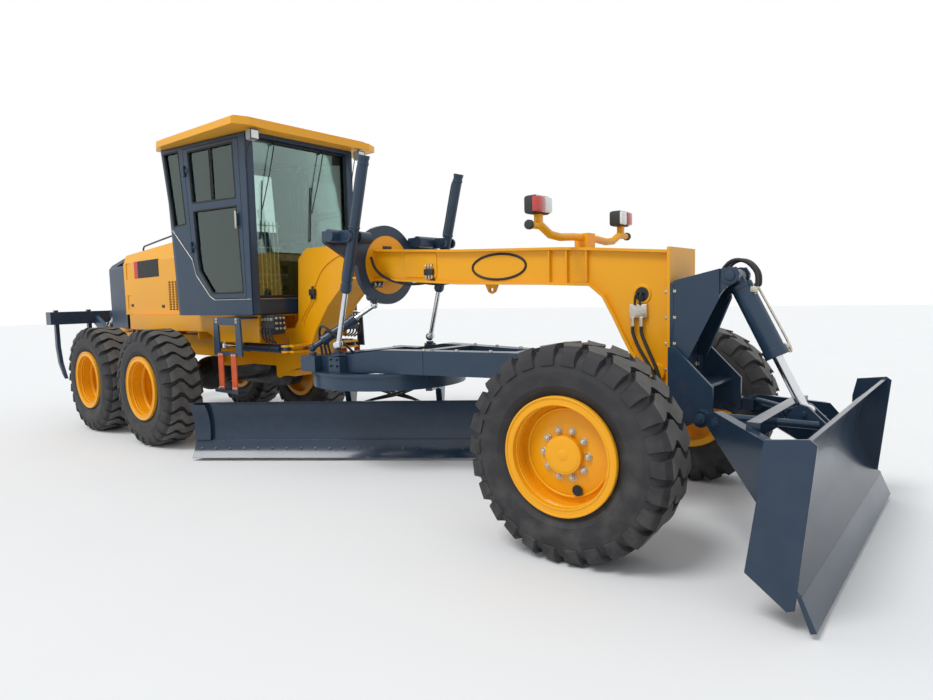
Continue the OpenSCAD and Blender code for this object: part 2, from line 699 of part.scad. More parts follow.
// Hitch cylinders: barrel on the front frame, rod to the rear frame
hitch_cyl_z = 1120;
hitch_eye = [-3860, 450, hitch_cyl_z];
hitch_anchor = [-5080, 470, hitch_cyl_z];
module hitch_barrel(side) color(blue_grey) in_front() side_of(side)
  difference() {
    union() {
      cyl_barrel(hitch_eye, hitch_anchor, 75, 760, small_barrel_r, small_rod_r);
      bar_z(hitch_eye[0], hitch_eye[1], hitch_cyl_z - 18, hitch_cyl_z + 18, 50);
      box(-3940, -3860, 430, 470, hitch_cyl_z - 18, hitch_cyl_z + 18);
      bar_z(hitch_eye[0], hitch_eye[1], hitch_cyl_z - 52, hitch_cyl_z + 52, eye_pin_r);
    }
  }
module hitch_rod(side) color(chrome) in_front() side_of(side)
  difference() {
    union() {
      cyl_rod(hitch_eye, hitch_anchor, 330, norm(hitch_anchor - hitch_eye), small_rod_r);
      bar_z(hitch_anchor[0], hitch_anchor[1], hitch_cyl_z - 26, hitch_cyl_z + 26, 52);
      bar_z(hitch_anchor[0], hitch_anchor[1], hitch_cyl_z, hitch_cyl_z + 42, eye_pin_r);
    }
  }
module left_hitch_barrel() hitch_barrel(1);
module right_hitch_barrel() hitch_barrel(-1);
module left_hitch_rod() hitch_rod(1);
module right_hitch_rod() hitch_rod(-1);

// Front blade, its mount on the nose and its cylinder
dozer_top = [655, 0, 1735];
dozer_eye = [1100, 0, 845];
mount_wing = [[0, 1180], [95, 1165], [330, 1660], [400, 1700], [425, 1750], [400, 1792],
  [345, 1797], [0, 1712]];
module dozer_mount() color(blue_grey) in_front() {
  box(292 + seat_gap, 316, -flange_w / 2, flange_w / 2, 790, 1694);
  both_sides() {
    // Wing that narrows from the nose to the cylinder's fork
    difference() {
      union() {
        intersection() {
          translate([305, 212, 0]) rotate([0, 0, -18.5]) plate_xz(mount_wing, 0, 20);
          box(300, 590, 0, 300, 1000, 1800);
        }
        plate_xz([[560, 1570], [620, 1650], [710, 1700], [715, 1750], [690, 1792],
          [560, 1775]], 100, 24);
        bar_y(dozer_top[0], 96, 132, dozer_top[2], 58);
      }
      bar_y(dozer_top[0], 60, 160, dozer_top[2], eye_pin_r + run_fit);
    }
    difference() {
      plate_xz([[310, 770], [310, 1265], [355, 1265], [610, 1010], [dozer_pivot_x + 50, 790],
        [dozer_pivot_x - 10, 745], [dozer_pivot_x - 60, 760]],
        dozer_pivot_y - 68, 26);
      bar_y(dozer_pivot_x, 200, 500, dozer_pivot_z, eye_pin_r + run_fit);
    }
    box(310, 330, flange_w / 2 - 20, dozer_pivot_y - 42, 800, 1260);
  }
  // Top plate of the bracket and a shelf between the lower plates
  intersection() {
    translate([0, 0, 0]) linear_extrude(2000)
      polygon([[310, -200], [610, -104], [610, 104], [310, 200]]);
    plate_xz([[310, 1688], [310, 1706], [615, 1791], [615, 1773]], -300, 600);
  }
  box(310, 545, -295, 295, 985, 1005);
}
dozer_arm = [[-60, 775], [-60, 850], [30, 878], [560, 800], [650, 700], [650, 330]];
module dozer_blade() color(blue_grey) in_front() {
  y1 = dozer_w / 2;
  side = [
    [1105, 250], [1160, 640], [1160, 790], [1190, 925], [1383, 950], [1417, 925],
    [1335, 120], [1300, 105]
  ];
  both_sides() {
    plate_xz(side, y1 - dozer_t, dozer_t);
    // Lift arm and its pivot lug
    translate([660, 400, 0]) rotate([0, 0, 41]) plate_xz(dozer_arm, -32, 64);
    bar_y(dozer_pivot_x, dozer_pivot_y - 38, dozer_pivot_y + 36, dozer_pivot_z, 58);
    box(dozer_pivot_x, 690, dozer_pivot_y - 38, dozer_pivot_y + 36, 772, 852);
    bar_y(dozer_pivot_x, dozer_pivot_y - 74, dozer_pivot_y, dozer_pivot_z, eye_pin_r);
    // Strut from the arm to the lugs of the rod
    rod_between([700, dozer_pivot_y + 20, 835], [1190, 110, 790], 26);
    bar_y(690, dozer_pivot_y + 20, dozer_pivot_y + 100, 812, 46);
  }
  // Cross member behind the blade
  box(905, 985, -600, 600, 776, 866);
  // Curved plate and its cutting edge
  intersection() {
    translate([1660, 0, 560]) rotate([90, 0, 0]) difference() {
      cylinder(r = 480, h = dozer_w - 4, center = true, $fn = 96);
      cylinder(r = 480 - dozer_t, h = dozer_w, center = true, $fn = 96);
    }
    box(1100, 1460, -y1, y1, 200, 935);
  }
  plate_xz([[1338, 205], [1360, 205], [1432, 40], [1405, 28]], -y1, 2 * y1);
  // Lugs for the rod's eye
  both_sides()
    difference() {
      plate_xz([[960, 780], [1050, 890], [1080, 905], [1120, 895], [1230, 790], [1230, 760],
        [960, 776]], 40, 24);
      bar_y(dozer_eye[0], 0, 100, dozer_eye[2], rod_pin_r - 1);
    }
  bar_y(dozer_eye[0], -82, 82, dozer_eye[2], rod_pin_r);
}
module dozer_barrel() color(blue_grey) in_front()
  difference() {
    union() {
      cyl_barrel(dozer_top, dozer_eye, 70, 600, dozer_barrel_r, dozer_rod_r);
      rod_between(dozer_top, at(dozer_top, dozer_eye, 90), 44);
      bar_y(dozer_top[0], -88, 88, dozer_top[2], 46);
      bar_y(dozer_top[0], -134, 134, dozer_top[2], eye_pin_r);
    }
  }
module dozer_rod() color(chrome) in_front()
  difference() {
    union() {
      cyl_rod(dozer_top, dozer_eye, 400, norm(dozer_eye - dozer_top) - 30, dozer_rod_r);
      bar_y(dozer_eye[0], -30, 30, dozer_eye[2], 52);
    }
    bar_y(dozer_eye[0], -60, 60, dozer_eye[2], rod_pin_r + eye_play);
  }

// Rear frame and what it carries
module rear_frame() in_rear() color(yellow) {
  both_sides() {
    box(-3500, -730, 360, 470, rail_z, rail_z + rail_h);
    // Skirt along the engine and under the cab
    plate_xz([[-2830, skirt_top], [-2830, 1290], [-760, 1290], [-480, 1180],
      [330, 1190], [330, skirt_top]], skirt_y - 20, 20);
    for (x = [-2700, -1900, -1000])
      box(x, x + 20, 300, skirt_y - 10, rail_z + 215, skirt_top - 20);
    for (x = [-300, 200])
      box(x, x + 20, 300, skirt_y - 10, 1345, skirt_top - 20);
    // Anchors of the hitch cylinders
    box(-720, -560, 380, 560, hitch_cyl_z - 60, hitch_cyl_z - 32);
    // Cab mounts
    for (x = [-700, 200]) bar_z(x, 450, skirt_top - 5, cab_z + 2 - seat_gap, 60);
    bar_z(-630, 470, hitch_cyl_z - 76, hitch_cyl_z - 31, 50);
  }
  for (x = [-3400, -2450, -1900, -1250])
    box(x, x + 120, -400, 400, rail_z + 20, rail_z + rail_h - 20);
  box(-2830, 330, -skirt_y + 10, skirt_y - 10, skirt_top - 20, skirt_top);
  // Mast plates that carry the ripper and its cylinders
  both_sides() {
    plate_xz([[-3300, rail_z], [-3300, 1280], [-3640, 1280], [-3640, 1850], [-3780, 1850],
      [-3800, 1740], [-3740, 1500], [-3740, 1100], [-3810, 1060], [-3810, 950], [-3640, 930]],
      ripper_cyl_y + 62, 22);
    box(-3655, -3620, 0, ripper_cyl_y + 70, 1000, 1830);
    bar_y(ripper_pivot[0], ripper_cyl_y + 62, ripper_arm_y + 50, ripper_pivot[2], eye_pin_r);
    bar_y(ripper_top[0], ripper_cyl_y - 62, ripper_cyl_y + 64, ripper_top[2], eye_pin_r);
    plate_xz([[-3625, 1700], [-3625, 1850], [-3780, 1850], [-3800, 1740], [-3740, 1700]],
      ripper_cyl_y - 84, 22);
  }
  // Hitch tongue with its two pins
  bar_z(0, 0, 853, 1247, 120);
  bar_z(0, 0, 782, 1318, hitch_pin_r);
  box(-700, 0, -110, 110, 870, 1230);
  box(-790, -600, -400, 400, 870, 1230);
}
module engine() in_rear() color(dark) box(-2650, -1350, -330, 330, skirt_top + seat_gap, 2050);

hood_x = -3081;
module hood_form(g) {
  // g is how far the form lies inside the hood's outer skin
  intersection() {
    plate_xz([[hood_x, skirt_top + seat_gap], [hood_x, hood_rear_z - g],
      [-1500, hood_front_z - 30 - g], [-1055, hood_front_z - g],
      [-1055, skirt_top + seat_gap]], -hood_w, 2 * hood_w);
    translate([-3200, 0, 0]) rotate([90, 0, 90]) linear_extrude(2400) {
      w = hood_w / 2 - g;
      top = hood_front_z + 40;
      translate([-w, 0]) square([2 * w, hood_rear_z - hood_r - g]);
      polygon([[-w, 1000], [w, 1000], [w - 8, hood_rear_z - hood_r], [w - hood_r, top],
        [-w + hood_r, top], [-w + 8, hood_rear_z - hood_r]]);
    }
  }
}
slot_x = -1781;
slot_w = 62;
slot_h = 19;
slot_z = 1550;
slot_pitch_x = 85;
slot_pitch_z = 31.5;
module hood() in_rear() color(yellow) {
  difference() {
    hood_form(0);
    difference() {
      hood_form(hood_t);
      box(-1055 - hood_t, 0, -hood_w, hood_w, 0, 3000);
    }
    // Block of louvre slots behind the cab
    for (c = [0:2], r = [0:11])
      box(slot_x + c * slot_pitch_x, slot_x + c * slot_pitch_x + slot_w, -hood_w, hood_w,
        slot_z + r * slot_pitch_z, slot_z + r * slot_pitch_z + slot_h);
    // Shallow grips at the rear end of each side
    both_sides()
      for (z = [[1560, 1760], [1980, 2200]])
        box(-3000, -2890, hood_w / 2 - 8, hood_w, z[0], z[1]);
  }
}
module radiator_cowl() in_rear() color(blue_grey) {
  x0 = hood_x - cowl_l;
  w = hood_w / 2 - 12;
  difference() {
    intersection() {
      plate_xz([[x0, 1300], [x0, 2150], [x0 + 60, 2200],
        [hood_x - seat_gap, hood_rear_z - 6], [hood_x - seat_gap, 1300]], -w, 2 * w);
      translate([x0 - 10, 0, 0]) rotate([90, 0, 90]) linear_extrude(cowl_l + 20)
        polygon([[-w, 1200], [w, 1200], [w, 2140], [w - 90, 2400], [-w + 90, 2400], [-w, 2140]]);
    }
    plate_xz([[x0 + 20, 1400], [x0 + 20, 2130], [-3080, 2260], [-3080, 1400]],
      -w + 14, 2 * w - 28);
    for (i = [0:11])
      box(x0 - 10, x0 + 40, -w + 110, w - 110, 1440 + i * 56, 1470 + i * 56);
  }
}
module tandem_drive() in_rear() color(dark) {
  both_sides() {
    for (k = [-1, 1])
      bar_y(tandem_x + k * tandem_pitch / 2, 640, wheel_y + rear_disc_y - 2, axle_z,
        spindle_r);
    for (k = [-1, 1])
      bar_y(tandem_x + k * tandem_pitch / 2, 640, 640 + tandem_w, axle_z, tandem_h / 2);
    box(tandem_x - tandem_pitch / 2, tandem_x + tandem_pitch / 2, 640, 640 + tandem_w,
      axle_z - tandem_h / 2, axle_z + tandem_h / 2);
    box(tandem_x - 170, tandem_x + 170, 360, 470, axle_z + 100, rail_z - seat_gap);
  }
  // Gearbox and its guard under the frame
  guard_top = rail_z + 20 - seat_gap;
  plate_xz([[-1330, guard_top], [-1330, 760], [-1180, 690], [-900, 690], [-800, 760],
    [-800, guard_top]], -260, 520);
  bar_y(tandem_x, -650, 650, axle_z, 150);
  translate([tandem_x, 0, axle_z]) sphere(r = 230);
}

// Cab, in the hitch's axes
wall_top = roof_z - 20;
module on_cab_side() translate([310, cab_front_y + 12, 0]) rotate([0, 0, -cab_flare])
  translate([-310, 0, 0]) children();
door_outline = [
  [300, 3345], [-638, 3345], [-548, 2100], [-520, 1960], [-290, 1715], [-215, 1675],
  [318, 1675]
];
upper_pane = [[205, 3310], [-560, 3310], [-520, 2745], [222, 2735]];
lower_pane = [
  [230, 2650], [-510, 2655], [-478, 2120], [-455, 1990], [-250, 1735], [270, 1735]
];
quarter_pane = [[-735, 3340], [-1000, 3340], [-885, 2510], [-655, 2530]];
side_outline = [
  [410, wall_top], [-1050, wall_top], [-905, 2440], [-845, cab_z], [400, cab_z]
];
module cab_side_wall()
  on_cab_side() difference() {
    plate_xz(side_outline, -cab_t, cab_t);
    plate_xz(grown(door_outline, door_gap), -2 * cab_t, 3 * cab_t);
    plate_xz(quarter_pane, -2 * cab_t, 3 * cab_t);
  }
// Door hinges: the axis, the middles of the hinges along it, the knuckles on it
hinge_low = [-550, 14, 2100];
hinge_high = [-640, 14, 3350];
hinge_s = [160, 1010];
hinge_pin_r = 7;
hinge_r = 13;
module hinge_knuckle(s0, s1, x0, x1) {
  p = at(hinge_low, hinge_high, s0);
  q = at(hinge_low, hinge_high, s1);
  rod_between(p, q, hinge_r);
  box(p[0] + x0, p[0] + x1, -3, 9, p[2] + 3, q[2] - 3);
}
cab_plan = [
  [360, 640], [340, 690], [-880, 850], [-880, -850], [340, -690], [360, -640]
];
module cab_frame() in_rear() color(blue_grey) {
  both_sides() cab_side_wall();
  both_sides() on_cab_side()
    for (s = hinge_s) {
      rod_between(at(hinge_low, hinge_high, s - 62), at(hinge_low, hinge_high, s + 62),
        hinge_pin_r);
      for (k = [-60, 22]) hinge_knuckle(s + k, s + k + 38, -50, -8);
    }
  translate([0, 0, cab_z + 2]) linear_extrude(58) polygon(cab_plan);
  translate([0, 0, roof_z - 44]) linear_extrude(44)
    polygon([[420, 655], [420, 705], [320, 705], [-1060, 885], [-1060, -885], [320, -705],
      [420, -705], [420, -655]]);
  // Front: sill, header and corner posts round the windscreen
  plate_yz([[-660, cab_z + 4], [660, cab_z + 4], [660, 1690], [-660, 1690]], 330, 42);
  plate_yz([[-660, 3340], [660, 3340], [660, wall_top], [-660, wall_top]], 330, 42);
  both_sides() box(330, 412, 625, 700, cab_z + 4, wall_top);
  // Rear wall with its window
  difference() {
    plate_xz([[-905, cab_z], [-860, cab_z], [-1000, wall_top], [-1048, wall_top]], -860, 1720);
    plate_yz([[-560, 2520], [560, 2520], [560, 3280], [-560, 3280]], -1200, 400);
  }
}
module cab_roof() in_rear() color(roof_yellow) {
  translate([0, 0, roof_z + seat_gap]) linear_extrude(roof_h - 40)
    polygon([[640, 790], [560, 950], [-950, 985], [-1150, 900], [-1150, -900],
      [-950, -985], [560, -950], [640, -790], [600, -600], [600, 600]]);
  translate([0, 0, roof_z + roof_h - 41]) linear_extrude(30)
    polygon([[570, 760], [520, 900], [-940, 930], [-1090, 850], [-1090, -850],
      [-940, -930], [520, -900], [570, -760]]);
}
module roof_lamps() in_rear() color(dark) both_sides() {
  box(500, 590, 660, 760, roof_z - 120, roof_z - 20);
  box(530, 560, 690, 730, roof_z - 20, roof_z);
}
module cab_glass() in_rear() color(glass) {
  box(345, 345 + glass_t, -625 + seat_gap, 625 - seat_gap, 1690 + seat_gap, 3340 - seat_gap);
  plate_xz([[-948, 2520 + seat_gap], [-942, 2520 + seat_gap], [-1005, 3280 - seat_gap],
    [-1011, 3280 - seat_gap]], seat_gap - 560, 2 * (560 - seat_gap));
  both_sides() on_cab_side()
    plate_xz(grown(quarter_pane, -seat_gap), -30, glass_t);
}
module door(side) in_rear() side_of(side) color(blue_grey) {
  on_cab_side() {
    difference() {
      plate_xz(door_outline, -cab_t, cab_t);
      plate_xz(upper_pane, -2 * cab_t, 3 * cab_t);
      plate_xz(lower_pane, -2 * cab_t, 3 * cab_t);
    }
    difference() {
      for (s = hinge_s) hinge_knuckle(s - 20, s + 20, 6, 50);
      rod_between(hinge_low, hinge_high, hinge_pin_r + run_fit);
    }
    // Handle near the front edge
    box(230, 262, -2, 26, 2440, 2560);
  }
}
module left_door() door(1);
module right_door() door(-1);
module door_glass(side) in_rear() side_of(side) color(glass) on_cab_side() {
  plate_xz(grown(upper_pane, -seat_gap), -30, glass_t);
  plate_xz(grown(lower_pane, -seat_gap), -30, glass_t);
}
module left_door_glass() door_glass(1);
module right_door_glass() door_glass(-1);
module driver_seat() in_rear() color(dark) {
  box(-560, -160, -220, 220, cab_z + 60, cab_z + 330);
  box(-600, -80, -260, 260, cab_z + 330, cab_z + 450);
  plate_xz([[-700, cab_z + 440], [-560, cab_z + 440], [-640, cab_z + 1080],
    [-740, cab_z + 1080]], -240, 480);
}
module control_console() in_rear() color(dark) {
  plate_xz([[180, cab_z + 60], [330, cab_z + 60], [250, cab_z + 700], [130, cab_z + 760],
    [110, cab_z + 700], [200, cab_z + 620]], -110, 220);
  translate([100, 0, cab_z + 800]) rotate([0, -25, 0])
    rotate_extrude() translate([190, 0]) circle(r = 14, $fn = 24);
  along([170, 0, cab_z + 700], [92, 0, cab_z + 815]) cylinder(r = 20, h = 130);
  along([92, 0, cab_z + 800], [85, 200, cab_z + 800]) cylinder(r = 12, h = 186);
  along([92, 0, cab_z + 800], [85, -200, cab_z + 800]) cylinder(r = 12, h = 186);
}
step_straps_x = [-95, 165];
module steps() in_rear() color(blue_grey) both_sides() {
  // Bracket with two legs and a hanging step bar
  for (x = [-190, 250])
    plate_xz([[x, 1060], [x + 120, 1060], [x + 100, 1470], [x + 20, 1470]], 830, 20);
  box(-190, 370, 830, 850, 1060, 1105);
  box(-150, 330, skirt_y, 850, 1452, 1470);
  box(-150, 330, 832, 850, 1390, 1470);
  box(-140, 320, 790, 890, 660, 690 - seat_gap);
}
module step_straps() in_rear() color("#C4461E") both_sides()
  for (x = step_straps_x)
    box(x, x + 100, 850 + seat_gap, 862, 690, 1085);
lamp_y = 640;
mast_pts = [[-490, 0, 2076], [-492, 180, 2072], [-496, 360, 2060], [-500, 490, 2072],
  [-500, 590, 2118], [-500, lamp_y, 2140]];
module lamp_mast() {
  // Post on the gooseneck and a pipe like a gull's wing
  box(-550, -430, -55, 55, 1985, 2105);
  both_sides()
    for (i = [1:len(mast_pts) - 1]) {
      rod_between(mast_pts[i - 1], mast_pts[i], 29);
      translate(mast_pts[i]) rotate([90, 0, 0]) sphere(r = 29.5);
    }
}
module front_lamps() in_front() color(dark) both_sides() {
  box(-560, -450, lamp_y - 100, lamp_y + 100, 2205, 2330);
  bar_z(-500, lamp_y, 2170, 2206, 16);
}

// Ripper at the tail, with its pair of cylinders
ripper_pivot = [-3740, 0, 1010];
ripper_bar = [-4540, 0, 1450];
ripper_top = [-3740, 0, 1790];
ripper_eye = [-4400, 0, 1300];
ripper_arm_y = 430;
ripper_cyl_y = 300;
module ripper() in_rear() color(blue_grey) {
  both_sides() {
    translate([0, ripper_arm_y, 0]) difference() {
      link([ripper_pivot[0], ripper_pivot[2]], [ripper_bar[0], ripper_bar[2]], 72, 56);
      bar_y(ripper_pivot[0], -60, 60, ripper_pivot[2], eye_pin_r + run_fit);
    }
    // Lugs for the rods' eyes
    for (y = [ripper_cyl_y - 66, ripper_cyl_y + 44])
      difference() {
        plate_xz([[-4330, 1245], [-4430, 1235], [-4520, 1360], [-4500, 1440], [-4440, 1420],
          [-4330, 1350]], y, 22);
        bar_y(ripper_eye[0], y - 1, y + 23, ripper_eye[2], rod_pin_r - 1);
      }
    bar_y(ripper_eye[0], ripper_cyl_y - 80, ripper_cyl_y + 80, ripper_eye[2], rod_pin_r);
  }
  box(ripper_bar[0] - 95, ripper_bar[0] + 95, -ripper_w / 2, ripper_w / 2,
    ripper_bar[2] - 95, ripper_bar[2] + 95);
  for (i = [0:ripper_shanks - 1]) {
    y = (i - (ripper_shanks - 1) / 2) * (ripper_w - 300) / (ripper_shanks - 1);
    box(ripper_bar[0] - 190, ripper_bar[0] - 90, y - 55, y + 55, 1370, 1530);
    plate_xz([[ripper_bar[0] - 175, 1570], [ripper_bar[0] - 110, 1570],
      [ripper_bar[0] - 100, 1000], [ripper_bar[0] - 40, 760], [ripper_bar[0] + 90, 560],
      [ripper_bar[0] + 110, 530], [ripper_bar[0] + 20, 590], [ripper_bar[0] - 120, 760],
      [ripper_bar[0] - 185, 1000]], y - 25, 50);
  }
}
module ripper_barrels() in_rear() color(blue_grey) both_sides()
  translate([0, ripper_cyl_y, 0]) difference() {
    union() {
    cyl_barrel(ripper_top, ripper_eye, 60, 520, small_barrel_r, small_rod_r);
    rod_between(ripper_top, at(ripper_top, ripper_eye, 75), 36);
    bar_y(ripper_top[0], -38, 38, ripper_top[2], 46);
    }
    bar_y(ripper_top[0], -50, 50, ripper_top[2], eye_pin_r + run_fit);
  }
module ripper_rods() in_rear() color(chrome) both_sides()
  translate([0, ripper_cyl_y, 0]) difference() {
    union() {
      cyl_rod(ripper_top, ripper_eye, 110, norm(ripper_eye - ripper_top) - 30, small_rod_r);
      bar_y(ripper_eye[0], -38, 38, ripper_eye[2], 44);
    }
    bar_y(ripper_eye[0], -50, 50, ripper_eye[2], rod_pin_r + eye_play);
  }

rear_frame();
hood();
radiator_cowl();
engine();
tandem_drive();
cab_frame();
cab_roof();
cab_glass();
driver_seat();
control_console();
steps();
step_straps();
roof_lamps();
left_door();
right_door();
left_door_glass();
right_door_glass();
front_frame();
saddle();
front_lamps();
front_axle();
dozer_mount();
drawbar_ball_shell();
drawbar();
blade_circle();
blade_carrier();
moldboard();
cutting_edge();
left_lift_barrel();
right_lift_barrel();
left_lift_rod();
right_lift_rod();
shift_barrel();
shift_rod();
left_hitch_barrel();
right_hitch_barrel();
left_hitch_rod();
right_hitch_rod();
dozer_blade();
dozer_barrel();
dozer_rod();
ripper();
ripper_barrels();
ripper_rods();
left_lean_bracket();
right_lean_bracket();
left_knuckle();
right_knuckle();
front_left_tyre();
front_left_rim();
front_right_tyre();
front_right_rim();
middle_left_tyre();
middle_left_rim();
middle_right_tyre();
middle_right_rim();
rear_left_tyre();
rear_left_rim();
rear_right_tyre();
rear_right_rim();
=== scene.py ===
"""Motor grader: finishes, tyres, trim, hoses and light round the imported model."""
import logging
import math
from dataclasses import dataclass, field
from enum import Enum
from typing import Iterable, Iterator, Sequence

import bmesh
import bpy
from mathutils import Matrix, Vector


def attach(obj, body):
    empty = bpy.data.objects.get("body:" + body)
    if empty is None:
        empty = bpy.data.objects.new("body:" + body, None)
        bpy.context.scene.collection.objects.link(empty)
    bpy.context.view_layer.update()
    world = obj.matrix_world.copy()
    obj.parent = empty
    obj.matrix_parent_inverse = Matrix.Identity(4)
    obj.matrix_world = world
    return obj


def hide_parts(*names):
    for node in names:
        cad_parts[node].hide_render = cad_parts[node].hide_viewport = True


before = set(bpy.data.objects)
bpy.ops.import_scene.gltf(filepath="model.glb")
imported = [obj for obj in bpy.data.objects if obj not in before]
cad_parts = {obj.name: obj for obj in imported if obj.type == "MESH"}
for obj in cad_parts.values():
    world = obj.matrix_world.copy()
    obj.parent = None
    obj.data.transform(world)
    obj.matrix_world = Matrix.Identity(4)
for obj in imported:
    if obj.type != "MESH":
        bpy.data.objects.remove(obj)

LOG = logging.getLogger("grader")
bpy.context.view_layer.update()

FRONT_X = 3.880
HITCH_X = -0.570
TANDEM_X = FRONT_X - 6.290
TANDEM_PITCH = 1.540
WHEEL_Y = 1.0775
AXLE_Z = 0.6725
KINGPIN_IN = 0.262
PARKED_STEER = math.radians(4.7)
BEAM_HALF = 0.150
BALL_X = -2.770
LIFT_Y = 0.640
FRONT_BODY = "front_frame_body"
REAR_BODY = "rear_frame_body"
UP = (0, 0, 1)
ACROSS = (0, 1, 0)
Point = tuple[float, float, float]
Spot = Vector | Point
Socket = bpy.types.NodeSocket
Vert = bmesh.types.BMVert


class Side(Enum):
    """The two sides of the machine, with the sign of Y."""

    LEFT = 1
    RIGHT = -1

    @property
    def label(self) -> str:
        """The side's name as the bodies spell it."""
        return self.name.lower()


class Kind(Enum):
    """How a finish answers to light."""

    PAINT = "paint"
    RUBBER = "rubber"
    METAL = "metal"
    PLASTIC = "plastic"
    FABRIC = "fabric"
    GLASS = "glass"
    LENS = "lens"


SHINE = {
    Kind.METAL: {"Metallic": 1.0},
    Kind.PAINT: {"Coat Weight": 0.12, "Specular IOR Level": 0.38},
    Kind.LENS: {"Coat Weight": 1.0},
    Kind.FABRIC: {"Sheen Weight": 0.4},
}
PANE_SHEEN = (0.80, 0.97, 0.92, 1)
DUST = (0.32, 0.30, 0.27, 1)
SKY = (0.93, 0.97, 1.0, 1)
WHITE = (1.0, 1.0, 1.0, 1)
FLOOR_SHADES = (0.80, 0.83)
SUN_WAY = (0.15, 0.65, -1.0)


def linear(red: int, green: int, blue: int) -> tuple[float, float, float, float]:
    """Turns a colour into linear light.

    Args:
        red: Red, from 0 to 255.
        green: Green, from 0 to 255.
        blue: Blue, from 0 to 255.

    Returns:
        The linear colour with full cover.
    """
    def one(step: int) -> float:
        """Turns one channel."""
        part = step / 255
        return part / 12.92 if part <= 0.04045 else ((part + 0.055) / 1.055) ** 2.4
    return (one(red), one(green), one(blue), 1.0)


class Graph:
    """Fills a node tree, one node a call.

    Args:
        tree: The node tree, which is emptied first.
    """

    def __init__(self, tree: bpy.types.NodeTree) -> None:
        """Empties the tree."""
        self.tree = tree
        tree.nodes.clear()

    def add(self, kind: str, inputs: dict | None = None,
            **settings: object) -> bpy.types.bpy_prop_collection:
        """Adds one node.

        Args:
            kind: The node's type, without its first word.
            inputs: A constant or another node's output for each of its inputs.
            settings: The node's own settings.

        Returns:
            Its outputs.
        """
        node = self.tree.nodes.new("ShaderNode" + kind)
        for name, value in settings.items():
            setattr(node, name, value)
        for key, value in (inputs or {}).items():
            if isinstance(value, Socket):
                self.tree.links.new(value, node.inputs[key])
            else:
                node.inputs[key].default_value = value
        return node.outputs

    def place(self) -> Socket:
        """Adds the object's own coordinates."""
        return self.add("TexCoord")["Object"]

    def noise(self, place: Socket, scale: float,
              detail: float = 2.0) -> Socket:
        """Adds a noise of a given size per metre."""
        return self.add("TexNoise", {"Vector": place, "Scale": scale, "Detail": detail})["Fac"]

    def fit(self, value: Socket, start: Sequence[float],
            end: Sequence[float]) -> Socket:
        """Maps a value from one range to another.

        Args:
            value: The value.
            start: Ends of its own range.
            end: Ends of the new range.

        Returns:
            The mapped value.
        """
        return self.add("MapRange", {
            "Value": value, "From Min": start[0], "From Max": start[1],
            "To Min": end[0], "To Max": end[1]})["Result"]

    def reckon(self, operation: str, one: object, other: object) -> Socket:
        """Joins two values by arithmetic."""
        return self.add("Math", {0: one, 1: other}, operation=operation)["Value"]


